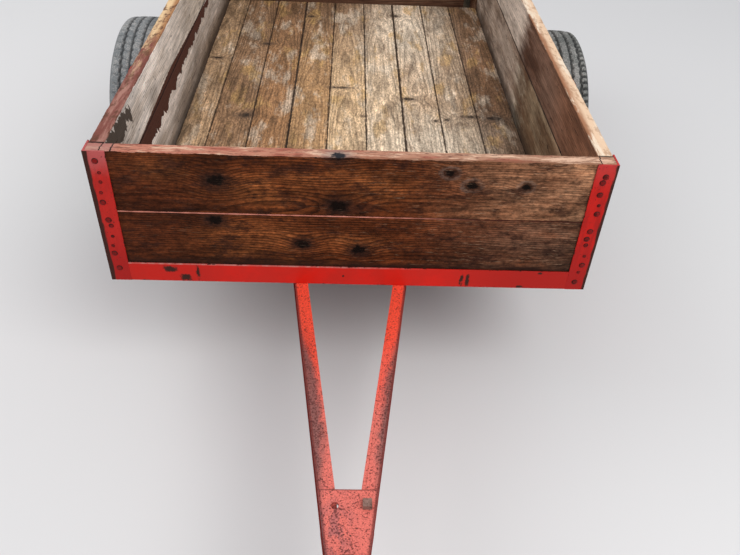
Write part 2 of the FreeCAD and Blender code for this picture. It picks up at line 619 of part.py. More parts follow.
def rim_ring():
    """A steel rim with flared lips, and the dished, windowed disc that carries it."""
    seat, inside, lip = size["rim_radius"], size["rim_inside"] / 2, size["rim_lip"]
    skin, disc, flare = size["rim_skin"], size["disc_skin"], size["rim_flare"]
    inner = [(inside + flare + skin, seat + lip - skin), (inside + skin / 2, seat - skin)]
    outer = [(inside + flare, seat + lip), (inside, seat)]
    barrel = turned(both_sides(inner) + both_sides(outer)[::-1])
    bore = size["hub_barrel"] + size["hub_bore_gap"]
    rise, nave = size["dish_depth"], size["hub_face"] + size["nave_edge"]
    front = [(0, bore), (0, nave), (rise, nave + rise), (rise, seat - skin)]
    plate = turned(front + [(x + disc, r) for x, r in reversed(front)])
    count = int(size["windows"])
    middle, half = (nave + rise + seat - skin) / 2, size["window_height"] / 2
    corners = [V(0, -size["window_inner"] / 2, middle - half),
               V(0, size["window_inner"] / 2, middle - half),
               V(0, size["window_outer"] / 2, middle + half),
               V(0, -size["window_outer"] / 2, middle + half)]
    window = Part.Face(Part.makePolygon(corners + corners[:1])).extrude(V(2 * (rise + disc), 0, 0))
    tools = []
    for index in range(count):
        tool = window.copy()
        tool.rotate(V(), V(1, 0, 0), 360 * index / count)
        tools.append(tool)
    return barrel.fuse(plate.cut(tools)).removeSplitter()


def hub_ring():
    """A hub turned about its bearing bore, its outer end closed by the grease cap."""
    bore = size["spindle"] / 2 + size["hub_play"]
    barrel, face = size["hub_barrel"], size["hub_face"]
    front, back, thick, wall = (size[word] for word in
                                ("hub_front", "hub_back", "hub_flange", "cap_skin"))
    return turned([(-back, bore), (-back, barrel), (-thick, barrel + thick), (-thick, face),
                   (0, face), (0, barrel), (front, bore + wall), (front, 0), (front - wall, 0),
                   (front - wall, bore)])


def wheels():
    """The two wheels, each a tyre, a rim and a hub on its spindle."""
    y, z = place["front_y"] + size["axle_setback"], size["tyre_radius"]
    for kind, ring in (("tyre", tyre_ring()), ("rim", rim_ring()), ("hub", hub_ring())):
        for side, sign in (("left", -1), ("right", 1)):
            shape = ring if sign > 0 else mirrored(ring)
            piece = shaped(f"{kind}_{side}", shape)
            piece.Placement = FreeCAD.Placement(V(sign * place["wheel_x"], y, z), FreeCAD.Rotation())
            keep(piece, f"{kind}_{side}")


for make in (corner_posts, rails, cross_members, floor, walls, gate_fittings, stakes, tongue_bars,
             tongue_plates, tongue_bolt, coupler, prop_leg, axle, springs, wheels):
    make()
doc.recompute()

faults = [f"{item.Name}: {item.State}" for item in doc.Objects
          if "Invalid" in item.State or "Error" in item.State]
faults += [f"{piece.Label}: bad shape" for piece in subparts
           if piece.Shape.isNull() or not piece.Shape.isValid() or not piece.Shape.Solids]
if faults:
    raise SystemExit("\n".join(faults))

os.makedirs("parts", exist_ok=True)
for piece in subparts:
    piece.Shape.exportStep(f"parts/{piece.Label}.step")
    print(f"{piece.Label}: {len(piece.Shape.Solids)} solids, {piece.Shape.Volume / 1e6:.3f} litres")
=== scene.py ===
import math

import bpy
import numpy as np
from mathutils import Matrix, Vector


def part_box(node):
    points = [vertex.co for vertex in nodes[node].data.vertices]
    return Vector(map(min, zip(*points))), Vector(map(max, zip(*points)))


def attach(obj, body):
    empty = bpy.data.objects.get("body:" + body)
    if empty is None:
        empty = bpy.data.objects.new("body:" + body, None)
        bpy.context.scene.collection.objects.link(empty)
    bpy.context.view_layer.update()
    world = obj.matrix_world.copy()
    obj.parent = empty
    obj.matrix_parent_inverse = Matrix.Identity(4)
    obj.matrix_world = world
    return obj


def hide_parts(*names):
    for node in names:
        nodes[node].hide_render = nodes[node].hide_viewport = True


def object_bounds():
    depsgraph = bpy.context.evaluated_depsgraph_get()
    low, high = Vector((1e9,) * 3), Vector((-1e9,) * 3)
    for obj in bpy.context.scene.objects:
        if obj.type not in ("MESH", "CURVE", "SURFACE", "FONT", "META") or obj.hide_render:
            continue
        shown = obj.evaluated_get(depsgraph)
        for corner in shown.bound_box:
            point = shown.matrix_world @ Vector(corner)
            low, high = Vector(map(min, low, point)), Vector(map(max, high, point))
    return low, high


# The looks of a weathered utility trailer: plank box, red angle steel, dusty tyres. Metres.

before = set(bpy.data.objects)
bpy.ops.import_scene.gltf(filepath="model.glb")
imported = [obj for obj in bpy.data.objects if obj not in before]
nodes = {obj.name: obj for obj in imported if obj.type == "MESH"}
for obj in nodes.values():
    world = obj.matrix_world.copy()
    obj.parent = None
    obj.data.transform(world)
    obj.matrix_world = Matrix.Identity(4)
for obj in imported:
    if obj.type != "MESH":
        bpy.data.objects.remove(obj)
cad_low, cad_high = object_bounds()
MM = 0.001

front_low, front_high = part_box("front_board_upper")
FRONT_Y = front_low.y                    # outer face of the front boards
BOARD = front_high.y - front_low.y       # thickness of the wall boards
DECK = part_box("floor_planks")[1].z       # the floor's top
WALL_HEIGHT = front_high.z - DECK        # from the floor's top to the walls' top
END_SEAM = front_low.z - DECK            # height of the seam between the front's two boards, and the gate's
side_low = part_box("right_board_upper")[0]
SIDE_SEAM = side_low.z - DECK            # height of the seam between a side's two boards
INSIDE = side_low.x                      # half the width between the walls
SKIN = FRONT_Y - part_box("post_front_left")[0].y    # thickness of the angle steel
PLANK = 139.7 * MM                       # pitch of the floor planks
tyre_low, tyre_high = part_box("tyre_right")
WHEEL_X, AXLE_Y, AXLE_Z = (tyre_low + tyre_high) / 2
PLATE_REAR = FRONT_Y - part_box("tongue_plate")[1].y    # how far ahead of the box the cover plate ends


# Camera, floor and light

PHOTO_WIDTH, FOCAL_PX = 740, 733.4    # in the photograph's pixels
EYE_X, EYE_AHEAD, EYE_OVER_DECK = -18.9 * MM, 1550.8 * MM, 1293.3 * MM
PITCH, ROLL, YAW = math.radians(39.82), math.radians(2.96), math.radians(-2.67)


def photo_camera():
    """The photograph's own standpoint: pitched down, turned and tilted a little."""
    turn = Matrix.Rotation(YAW, 3, "Z")
    ahead = turn @ Vector((0, math.cos(PITCH), -math.sin(PITCH)))
    right = turn @ Vector((1, 0, 0))
    up = right.cross(ahead)
    tilted_right = math.cos(ROLL) * right + math.sin(ROLL) * up
    tilted_up = math.cos(ROLL) * up - math.sin(ROLL) * right
    data = bpy.data.cameras.new("photo_camera")
    data.sensor_width = 36
    data.lens = 36 * FOCAL_PX / PHOTO_WIDTH
    camera = bpy.data.objects.new("photo_camera", data)
    basis = Matrix((tilted_right, tilted_up, -ahead)).transposed()
    camera.matrix_world = (Matrix.Translation((EYE_X, FRONT_Y - EYE_AHEAD, DECK + EYE_OVER_DECK))
                           @ basis.to_4x4())
    bpy.context.scene.collection.objects.link(camera)
    bpy.context.scene.camera = camera


def plain_floor():
    """A wide pale ground, a little greyer round the trailer, where the lamps are near."""
    half = 300
    mesh = bpy.data.meshes.new("studio_floor")
    mesh.from_pydata([(-half, -half, 0), (half, -half, 0), (half, half, 0), (-half, half, 0)], [],
                     [(0, 1, 2, 3)])
    floor = bpy.data.objects.new("studio_floor", mesh)
    bpy.context.scene.collection.objects.link(floor)
    material = bpy.data.materials.new("pale_floor")
    material.use_nodes = True
    w = Wiring(material.node_tree)
    shader = material.node_tree.nodes["Principled BSDF"]
    away = w.vector("LENGTH", w.node("ShaderNodeTexCoord").outputs["Object"])
    w.feed(w.mix(w.ramp(away, 4.0, 9.5), (0.69, 0.68, 0.668, 1), (0.97, 0.955, 0.93, 1)),
           shader.inputs["Base Color"])
    shader.inputs["Roughness"].default_value = 1.0
    shader.inputs["Specular IOR Level"].default_value = 0.0
    mesh.materials.append(material)


def studio_light():
    """A pale sky, seen as plain pale backdrop, and two large soft lamps."""
    world = bpy.data.worlds.new("pale_sky")
    bpy.context.scene.world = world
    world.use_nodes = True
    w = Wiring(world.node_tree)
    rays = w.node("ShaderNodeLightPath").outputs
    seen = w.math("MAXIMUM", rays["Is Camera Ray"],
                  w.math("MAXIMUM", rays["Is Glossy Ray"], rays["Is Transmission Ray"]))
    sky = world.node_tree.nodes["Background"]
    w.feed(w.mix(seen, (0.725, 0.741, 0.78, 1), (0.735, 0.73, 0.725, 1)), sky.inputs["Color"])
    sky.inputs["Strength"].default_value = 1.0
    # columns: name, place, size, watts
    lamps = [("key_lamp", (2.5, -3.5, 5.0), 4.0, 190), ("fill_lamp", (-4.0, 1.0, 4.5), 4.0, 80)]
    aim = Vector((0, 0, 0.4))
    for name, place, size, watts in lamps:
        data = bpy.data.lights.new(name, "AREA")
        data.shape = "DISK"
        data.size = size
        data.energy = watts
        lamp = bpy.data.objects.new(name, data)
        lamp.location = place
        lamp.rotation_mode = "QUATERNION"
        lamp.rotation_quaternion = (aim - Vector(place)).to_track_quat("-Z", "Y")
        bpy.context.scene.collection.objects.link(lamp)


# Surfaces on grids of points

def waves(along, seed, lengths, size):
    """A wandering line: sines of the given wavelengths with random phases, about +-size in all."""
    phases = np.random.default_rng(seed).uniform(0, 2 * np.pi, len(lengths))
    parts = [np.sin(2 * np.pi * along / length + phase) for length, phase in zip(lengths, phases)]
    return size * sum(parts) / len(parts)


def bell(value, middle, reach):
    """1 at the middle, e^-1 at one reach from it."""
    return np.exp(-((value - middle) / reach) ** 2)


def step(value, low, high):
    """0 below low, 1 above high, an S-curve between."""
    share = np.clip((value - low) / (high - low), 0, 1)
    return share * share * (3 - 2 * share)


SHARP = math.radians(35)    # faces that meet at more than this show an edge


class Shell:
    """Points, faces and edge marks gathered from closed grids, then written as one mesh."""

    def __init__(self):
        self.points, self.faces, self.marks, self.count = [], [], [], 0

    def tube(self, rings, marks=0.0, loop=False):
        """Quads between neighbouring rings[i, j]; each ring closes, and the ends are filled or joined.

        The faces are turned round where the volume that they close comes out negative.
        """
        rings = np.asarray(rings, float)
        length, around = rings.shape[:2]
        i, j = np.meshgrid(np.arange(length if loop else length - 1), np.arange(around), indexing="ij")
        after_i, after_j = (i + 1) % length, (j + 1) % around
        quads = np.stack([i * around + j, i * around + after_j,
                          after_i * around + after_j, after_i * around + j], -1).reshape(-1, 4)
        corners = rings.reshape(-1, 3)
        a, b, c, d = ((corners - corners.mean(0))[quads[:, k]] for k in range(4))
        outward = np.einsum("ij,ij->i", a, np.cross(b, c) + np.cross(c, d)).sum() > 0
        self.faces += ((quads if outward else quads[:, ::-1]) + self.count).tolist()
        if not loop:
            first = np.arange(around) + self.count
            last = first + (length - 1) * around
            way = 1 if outward else -1
            self.faces += [first[::-way].tolist(), last[::way].tolist()]
        self.points.append(corners)
        self.marks.append(np.broadcast_to(marks, (length, around)).ravel())
        self.count += len(corners)
        return self

    def piece(self, name, body, slot, material, replaces=()):
        """The finished object, riding on its body and standing for the nodes it replaces."""
        mesh = bpy.data.meshes.new(name)
        mesh.from_pydata(np.concatenate(self.points).tolist(), [], self.faces)
        mesh.attributes.new("edge", "FLOAT", "POINT").data.foreach_set(
            "value", np.concatenate(self.marks).astype(np.float32))
        mesh.polygons.foreach_set("use_smooth", [True] * len(mesh.polygons))
        mesh.set_sharp_from_angle(angle=SHARP)
        mesh.materials.append(material)
        made = bpy.data.objects.new(name, mesh)
        bpy.context.scene.collection.objects.link(made)
        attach(made, body)
        if replaces:
            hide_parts(*replaces)


def rounded(width, height, radius, sides):
    """A rounded rectangle round the origin: an arc at each corner, points spread along each side."""
    half = np.array([width / 2 - radius, height / 2 - radius])
    centres = half * np.array([[1, 1], [-1, 1], [-1, -1], [1, -1]])
    turn = np.linspace(0, np.pi / 2, 4)[:, None] + np.arange(4) * np.pi / 2
    arcs = radius * np.stack([np.cos(turn), np.sin(turn)], -1) + centres
    parts = []
    for index in range(4):
        start, end = arcs[-1, index], arcs[0, (index + 1) % 4]
        share = np.linspace(0, 1, sides[index % 2] + 2)[1:-1, None]
        parts += [arcs[:, index], start * (1 - share) + end * share]
    return np.concatenate(parts)


def refined(section, spacing):
    """A closed section with more points along its straight runs, evenly by its own length."""
    closed = np.concatenate([section, section[:1]])
    along = np.concatenate([[0], np.cumsum(np.linalg.norm(np.diff(closed, axis=0), axis=1))])
    places = np.union1d(along, np.arange(0, along[-1], spacing))[:-1]
    return np.stack([np.interp(places, along, closed[:, k]) for k in (0, 1)], -1)


def stations(length, spacing, ease):
    """Places along a bar, with two close together at each end for its rounded ends."""
    inner = np.linspace(ease, length - ease, max(2, round(length / spacing)))
    return np.concatenate([[0], inner, [length]])


AXES = np.eye(3)


def board(shell, low, high, axis, seed, radius=2.5 * MM, spacing=9 * MM, wear=0.9 * MM, cells=10):
    """A sawn board: a rounded section carried along an axis, its edges worn down unevenly.

    Each point of the section moves inwards by slow waves along the board, scaled by the bell of its
    distance from the section's nearest corner; the end sections are drawn in by one more millimetre.
    cells are the points along the section's long sides.
    """
    low, high = np.array(low), np.array(high)
    others = [k for k in range(3) if k != axis]
    span = (high - low)[others]
    sides = (cells, 3) if span[0] > span[1] else (3, cells)
    section = rounded(span[0], span[1], radius, sides)
    starts = stations((high - low)[axis], spacing, 1.0 * MM)
    corner = bell((np.abs(section) - (span / 2 - radius)).min(1).clip(None, 0), 0, 6 * MM)
    long = starts[:, None]
    angle = np.arctan2(section[:, 1], section[:, 0])
    ragged = (waves(long + 0.02 * np.sin(3 * angle), seed, (0.031, 0.057, 0.113, 0.29), 1)
              + waves(long + 0.05 * np.cos(2 * angle), seed + 1, (0.017, 0.041, 0.083), 0.7))
    depth = wear * corner * np.clip(0.35 + 0.55 * ragged, 0, None) + 0.1 * wear * (1 + ragged)
    depth[[0, -1]] += 1.0 * MM
    flat = section - np.sign(section) * depth[..., None]
    middle = (low + high) / 2
    middle[axis] = low[axis]
    rings = (middle + np.multiply.outer(starts, AXES[axis])[:, None]
             + flat[..., :1] * AXES[others[0]] + flat[..., 1:] * AXES[others[1]])
    shell.tube(rings, corner)


def arc(centre, radius, start, end, count):
    """Points on a circle between two angles in degrees."""
    turn = np.radians(np.linspace(start, end, count))
    return np.stack([centre[0] + radius * np.cos(turn), centre[1] + radius * np.sin(turn)], -1)


def angle_section(leg_u, leg_v, skin, toe=1.8 * MM, heel=1.4 * MM, fillet=4 * MM):
    """A rolled angle's section: legs along u and v, rounded heel and toes, a fillet between them."""
    return np.concatenate([
        arc((heel, heel), heel, 180, 270, 5),
        arc((leg_u - 0.5 * MM, 0.5 * MM), 0.5 * MM, 270, 360, 2),
        arc((leg_u - toe, skin - toe), toe, 0, 90, 4),
        arc((skin + fillet, skin + fillet), fillet, 270, 180, 5),
        arc((skin - toe, leg_v - toe), toe, 0, 90, 4),
        arc((0.5 * MM, leg_v - 0.5 * MM), 0.5 * MM, 90, 180, 2)])


def angle_iron(name, axis, heel, material, slot):
    """The dressed copy of an angle: its section carried along the node's own box.

    heel gives, for the two other axes, the end of the box (-1 or 1) where the legs meet.
    """
    low, high = (np.array(point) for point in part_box(name))
    others = [k for k in range(3) if k != axis]
    span = high - low
    section = refined(angle_section(*span[others], SKIN), 6 * MM)
    marks = np.maximum(bell(section[:, 0] + section[:, 1], 0, 9 * MM),
                       np.maximum(bell(section[:, 0], span[others[0]], 5 * MM),
                                  bell(section[:, 1], span[others[1]], 5 * MM)))
    starts = stations(span[axis], 18 * MM, 0.8 * MM)
    base = low.copy()
    for sign, other in zip(heel, others):
        base[other] = high[other] if sign > 0 else low[other]
    toward = -np.array(heel)
    rings = (base + np.multiply.outer(starts, AXES[axis])[:, None]
             + section[:, :1] * toward[0] * AXES[others[0]]
             + section[:, 1:] * toward[1] * AXES[others[1]])
    Shell().tube(rings, marks).piece(name + "_angle", "chassis", slot, material, (name,))


def stud(shell, place, axis, sign, radius, height):
    """A domed head: circles whose radius follows the cosine of the climb from face to top."""
    climb = np.radians([0, 0, 25, 50, 78])
    reach = radius * np.cos(climb)
    rise = np.array([-1.0 * MM, *(height * np.sin(climb[1:]) / np.sin(climb[-1]))])
    turn = np.linspace(0, 2 * np.pi, 12, endpoint=False)
    others = [k for k in range(3) if k != axis]
    rings = (np.array(place) + sign * np.multiply.outer(rise, AXES[axis])[:, None]
             + reach[:, None, None] * (np.cos(turn)[:, None] * AXES[others[0]]
                                       + np.sin(turn)[:, None] * AXES[others[1]]))
    shell.tube(rings, np.array([1, 1, 0.45, 0, 0])[:, None])


# Wheels

def through(points, count):
    """A smooth line through points: Catmull-Rom, count places on each span, ends doubled."""
    knots = np.array([points[0], *points, points[-1]], float)
    share = np.linspace(0, 1, count, endpoint=False)[:, None, None]
    a, b, c, d = knots[:-3], knots[1:-2], knots[2:-1], knots[3:]
    spans = 0.5 * (2 * b + (c - a) * share + (2 * a - 5 * b + 4 * c - d) * share ** 2
                   + (3 * b - a - 3 * c + d) * share ** 3)
    return np.concatenate([spans.transpose(1, 0, 2).reshape(-1, 2), knots[-1:]])


def around_axle(profile, side, turns):
    """Profile points (offset outwards, radius) turned about the wheel's own axle: x, y, z grid."""
    offset, radius = profile[..., 0] + 0 * turns, profile[..., 1]
    return np.stack([side * (WHEEL_X + offset), AXLE_Y + radius * np.cos(turns),
                     AXLE_Z + radius * np.sin(turns)], -1)


# half of each tyre's section: offset from its middle and radius, millimetres
TYRE_HALF = [(0, 345), (28, 344.7), (56, 343), (70, 340.5), (78, 335), (86, 323), (94, 301), (98, 275),
             (96.5, 248), (89, 225), (81, 213), (74, 206), (69.5, 200), (69.5, 191)]
# the right tyre is a little narrower and rounder in the shoulder
NARROW_HALF = [(0, 345), (26, 344.6), (52, 342.2), (64, 338.5), (71, 331), (79, 318), (87, 298), (91, 274),
               (90, 248), (84.5, 225), (78.5, 213), (73, 206), (69.5, 200), (69.5, 191)]


def tyre(side, word, material, lugs):
    """A tyre: its section turned about the axle, the tread cut by four grooves with a fine zigzag.

    Grooves, cuts and blocks are steps of waves round the turn. Without lugs the ribs have fine cuts;
    with lugs the shoulders are blocky and the section is the narrower one.
    """
    half = through(np.array(NARROW_HALF if lugs else TYRE_HALF) * MM, 6)
    section = np.concatenate([half[::-1] * (-1, 1), half[1:]])
    turns = np.linspace(0, 2 * np.pi, 540 if lugs else 448, endpoint=False)[:, None]
    offset, radius = section[:, 0], section[:, 1]
    crown = step(radius, 0.330, 0.340)
    zigzag = 1.6 * MM * np.sin(64 * turns)
    # columns: a groove's middle and its half width
    places = np.array([(-48, 6), (-17, 5.5), (17, 5.5), (48, 6)]) * MM
    grooves = sum(step(-np.abs(offset - middle - zigzag), -reach, -0.45 * reach)
                  for middle, reach in places)
    if lugs:
        shoulder = step(np.abs(offset), 0.050, 0.054) * step(radius, 0.312, 0.326)
        blocks = step(np.sin(90 * turns + 110 * np.abs(offset)), 0.05, 0.45) * shoulder
    else:
        ribs = step(np.abs(offset), 0.020, 0.024) * crown
        blocks = 0.45 * step(np.sin(64 * turns + 60 * offset), 0.80, 0.95) * ribs
    cut = np.maximum(grooves * crown, blocks)
    # two moulded lines on each wall
    moulded = bell(radius, 0.3055, 2 * MM) + bell(radius, 0.232, 1.5 * MM)
    ridge = 0.8 * MM * moulded * (np.abs(offset) > 0.06)
    depth = (7 * MM if lugs else 5 * MM) * cut
    profile = np.stack([offset + 0 * turns + np.sign(offset) * (ridge - 0.3 * MM), radius - depth], -1)
    shell = Shell().tube(around_axle(profile, side, turns), cut, loop=True)
    shell.piece(f"tyre_{word}_tread", f"wheel_{word}", "tyre_rubber", material, (f"tyre_{word}",))


def squarish(wave):
    """A sine or cosine drawn out towards 1 and -1, which makes a circle a rounded square."""
    return np.sign(wave) * np.abs(wave) ** 0.45


def rim(side, word, material):
    """A pressed steel wheel: a barrel, a dished centre and eight windowed sectors between them.

    A sector's front is a straight mix from the outline of its window, a rounded square wider on its
    outer side, to the sector's own border; a bell of that share turns the window's lip back.
    """
    turns = np.linspace(0, 2 * np.pi, 128, endpoint=False)[:, None]
    thick = 3.2 * MM
    face = through(np.array([(77.5, 205), (79, 208), (77, 208), (72, 200), (70, 191), (60, 189.5),
                             (40, 188), (22, 181), (0, 178)]) * MM, 3)
    barrel = np.concatenate([face, face[-2::-1] * (-1, 1), face * (-1, 1) - (0, thick),
                             face[-2::-1] - (0, thick)])
    shell = Shell().tube(around_axle(barrel, side, turns), 0.4, loop=True)
    dish = through(np.array([(4.4, 34), (4.6, 50), (4.8, 68), (6, 79), (13, 90), (22, 98), (26, 104),
                             (26.4, 110)]) * MM, 4)
    solid = np.concatenate([dish, dish[::-1] - (4.0 * MM, 0)])
    shell.tube(around_axle(solid, side, turns), 0.2, loop=True)
    sectors, inner_r, outer_r = 8, 110 * MM, 183 * MM
    window_r, window_half = 144.3 * MM, 17 * MM
    spread = np.linspace(0, 2 * np.pi, 64, endpoint=False)
    across, up = squarish(np.sin(spread)), squarish(np.cos(spread))
    window = np.stack([across * (14 + 4 * up) * MM, window_r + window_half * up], -1)
    reach = np.maximum(np.abs(np.sin(spread)), np.abs(np.cos(spread)))
    border_r = (inner_r + outer_r) / 2 + (outer_r - inner_r) / 2 * np.cos(spread) / reach
    border_turn = np.sin(spread) / reach * np.pi / sectors
    border = np.stack([border_r * np.sin(border_turn), border_r * np.cos(border_turn)], -1)
    share = np.array([0, 0.03, 0.10, 0.35, 0.7, 1])[:, None, None]
    front = window * (1 - share) + border * share
    lip = bell(share[..., 0], 0, 0.06) + 0 * spread
    flat = np.concatenate([front, front[::-1]])
    # offsets of the front and the back, in millimetres
    level = np.concatenate([26.4 - 1.8 * lip, (22.2 + 0.6 * lip)[::-1]]) * MM
    for number in range(sectors):
        turn = 2 * np.pi * number / sectors
        y = flat[..., 0] * np.cos(turn) + flat[..., 1] * np.sin(turn)
        z = flat[..., 1] * np.cos(turn) - flat[..., 0] * np.sin(turn)
        rings = np.stack([side * (WHEEL_X + level), AXLE_Y + y, AXLE_Z + z], -1).transpose(1, 0, 2)
        shell.tube(rings, 0.3, loop=True)
    shell.piece(f"rim_{word}_pressing", f"wheel_{word}", "rim_paint", material, (f"rim_{word}",))


def hub(side, word, material):
    """A hub with its flange and grease cap, turned about the axle, and five domed wheel nuts."""
    outline = through(np.array([(53.6, 0.5), (53.4, 14), (51, 20), (44, 22.5), (20, 24.5), (17, 27),
                                (8, 31), (4, 32), (0.2, 32.6)]) * MM, 3)
    flange = np.array([(0, 33), (0, 70), (-1.5, 71.8), (-7.5, 71.8), (-9, 70), (-9.5, 42), (-20, 33),
                       (-48, 32.5), (-49.8, 30), (-49.8, 18.2), (-2, 18.2)]) * MM
    solid = np.concatenate([outline, flange])
    turns = np.linspace(0, 2 * np.pi, 64, endpoint=False)[:, None]
    shell = Shell().tube(around_axle(solid, side, turns), 0.2, loop=True)
    shell.piece(f"hub_{word}_turned", f"wheel_{word}", "rusty_steel", material, (f"hub_{word}",))
    nuts = Shell()
    spread = np.linspace(0, 2 * np.pi, 24, endpoint=False)
    hexagon = np.cos(np.pi / 6) / np.cos((spread % (np.pi / 3)) - np.pi / 6)
    # along a nut: height over the dish and radius in millimetres, and how far it is a hexagon there
    rows = np.array([(0, 9.8, 1), (1, 10.5, 1), (11, 10.5, 1), (13.5, 9.4, 0.5), (17, 8, 0), (19, 5.2, 0),
                     (20.5, 1.6, 0)])
    climb, size, hexed = rows.T[..., None]
    radius = MM * size * (hexagon * hexed + 0.92 * (1 - hexed))
    dish_face, nut_circle, first_turn = 4.8 * MM, 57.15 * MM, 0.3
    for turn in first_turn + 2 * np.pi * np.arange(5) / 5:
        y, z = AXLE_Y + nut_circle * np.cos(turn), AXLE_Z + nut_circle * np.sin(turn)
        nuts.tube(np.stack([side * (WHEEL_X + dish_face + climb * MM + 0 * spread),
                            y + radius * np.cos(spread), z + radius * np.sin(spread)], -1), 0.2)
    nuts.piece(f"wheel_nuts_{word}", f"wheel_{word}", "rusty_steel", material)


# Shader node groups

class Wiring:
    """Adds nodes to a tree and joins them; a socket or a plain value may feed any input."""

    def __init__(self, tree):
        self.tree = tree

    def node(self, kind, inputs=(), **settings):
        made = self.tree.nodes.new(kind)
        for name, value in settings.items():
            setattr(made, name, value)
        for name, value in dict(inputs).items():
            self.feed(value, made.inputs[name])
        return made

    def feed(self, value, socket):
        if isinstance(value, bpy.types.NodeSocket):
            self.tree.links.new(value, socket)
        else:
            socket.default_value = value

    def math(self, operation, *values, clamp=False):
        made = self.node("ShaderNodeMath", operation=operation, use_clamp=clamp)
        for value, socket in zip(values, made.inputs):
            self.feed(value, socket)
        return made.outputs[0]

    def vector(self, operation, *values):
        made = self.node("ShaderNodeVectorMath", operation=operation)
        for value, socket in zip(values, made.inputs):
            self.feed(value, socket)
        return made.outputs["Value" if operation == "LENGTH" else "Vector"]

    def all_three(self, value):
        """The same number in all three places of a vector or colour."""
        return self.node("ShaderNodeCombineXYZ", {"X": value, "Y": value, "Z": value}).outputs[0]

    def attribute(self, name):
        """A value that the mesh carries at each point."""
        return self.node("ShaderNodeAttribute", attribute_name=name).outputs["Fac"]

    def noise(self, vector, scale, detail=4.0, rough=0.55):
        made = self.node("ShaderNodeTexNoise", {"Vector": vector, "Scale": scale, "Detail": detail,
                                                "Roughness": rough})
        return made.outputs["Fac"]

    def stretch(self, vector, scale, shift=(0, 0, 0)):
        made = self.node("ShaderNodeMapping", {"Vector": vector, "Scale": scale, "Location": shift})
        return made.outputs["Vector"]

    def pattern(self, vector, scale, detail=4.0, rough=0.55, shift=(0, 0, 0)):
        """Noise with its own scale along each axis, so that it can run in streaks."""
        return self.noise(self.stretch(vector, scale, shift), 1.0, detail, rough)

    def stirred(self, value, noise, size):
        """A value moved up and down by a noise, whose middle is a half."""
        return self.math("MULTIPLY_ADD", self.math("SUBTRACT", noise, 0.5), size, value)

    def ramp(self, value, low, high):
        """0 below low, 1 above high, smooth between."""
        made = self.node("ShaderNodeMapRange", {"Value": value, "From Min": low, "From Max": high},
                         interpolation_type="SMOOTHSTEP")
        return made.outputs["Result"]

    def line(self, value, middle, outer, inner):
        """1 within the inner distance of a middle value, 0 beyond the outer distance."""
        return self.ramp(self.math("ABSOLUTE", self.math("SUBTRACT", value, middle)), outer, inner)

    def span(self, value, low, high, at_low, at_high):
        """A straight line from one value to another between low and high, level beyond them."""
        made = self.node("ShaderNodeMapRange", {"Value": value, "From Min": low, "From Max": high,
                                                "To Min": at_low, "To Max": at_high})
        return made.outputs["Result"]

    def mix(self, share, first, second, blend="MIX"):
        made = self.node("ShaderNodeMix", data_type="RGBA", blend_type=blend)
        # colour sockets of a node that also has number and vector ones of the same names
        for value, index in ((share, 0), (first, 6), (second, 7)):
            self.feed(value, made.inputs[index])
        return made.outputs[2]

    def over(self, tone, colour, mask, share):
        """A colour laid over a tone where the mask is 1, as strongly as the share says."""
        return self.mix(self.math("MULTIPLY", mask, share), tone, colour)

    def shaded(self, tone, factor):
        """A tone multiplied by a number."""
        return self.mix(1.0, tone, self.all_three(factor), blend="MULTIPLY")

    def colours(self, value, stops, between="LINEAR"):
        """A colour ramp from (position, colour) stops."""
        made = self.node("ShaderNodeValToRGB", {"Fac": value})
        ramp = made.color_ramp
        ramp.interpolation = between
        while len(ramp.elements) < len(stops):
            ramp.elements.new(0.5)
        for element, (position, colour) in zip(ramp.elements, stops):
            element.position = position
            element.color = (*colour, 1)
        return made.outputs["Color"]


def effect(name, takes, gives, build):
    """A node group with named inputs and outputs, built once."""
    group = bpy.data.node_groups.new(name, "ShaderNodeTree")
    kinds = {"value": "NodeSocketFloat", "vector": "NodeSocketVector", "colour": "NodeSocketColor"}
    for socket, kind in takes.items():
        group.interface.new_socket(socket, in_out="INPUT", socket_type=kinds[kind])
    for socket, kind in gives.items():
        group.interface.new_socket(socket, in_out="OUTPUT", socket_type=kinds[kind])
    wiring = Wiring(group)
    entry = wiring.node("NodeGroupInput")
    results = build(wiring, entry.outputs)
    leave = wiring.node("NodeGroupOutput")
    for socket, value in results.items():
        wiring.feed(value, leave.inputs[socket])
    return group


def sawn_grain(w, given):
    """Growth rings as a saw opens them: distance from a pith line, bent by slow noise and knots."""
    place = given["Place"]
    slow = w.node("ShaderNodeTexNoise", {"Vector": w.stretch(place, (1.6, 9.0, 9.0)), "Scale": 1.0,
                                         "Detail": 3.0}).outputs["Color"]
    centred = w.vector("SUBTRACT", slow, (0.5, 0.5, 0.5))
    bent = w.vector("SUBTRACT", w.vector("MULTIPLY", place, (0.045, 1.0, 1.0)), given["Pith"])
    moved = w.vector("MULTIPLY_ADD", centred, w.all_three(given["Wander"]), bent)
    reach = w.math("ADD", w.vector("LENGTH", moved), given["Knots"])
    ring = w.math("FRACT", w.math("MULTIPLY", reach, given["Rings"]))
    late = w.math("MULTIPLY", w.ramp(ring, 0.35, 0.86), w.math("SUBTRACT", 1.0, w.ramp(ring, 0.90, 1.0)))
    fibre = w.pattern(place, (14.0, 420.0, 420.0), detail=3.0, rough=0.65)
    streak = w.pattern(place, (3.0, 70.0, 70.0), detail=4.0, rough=0.6)
    blotch = w.pattern(place, (4.0, 9.0, 9.0), detail=6.0, rough=0.65)
    return {"Late": late, "Fibre": fibre, "Streak": streak, "Blotch": blotch}


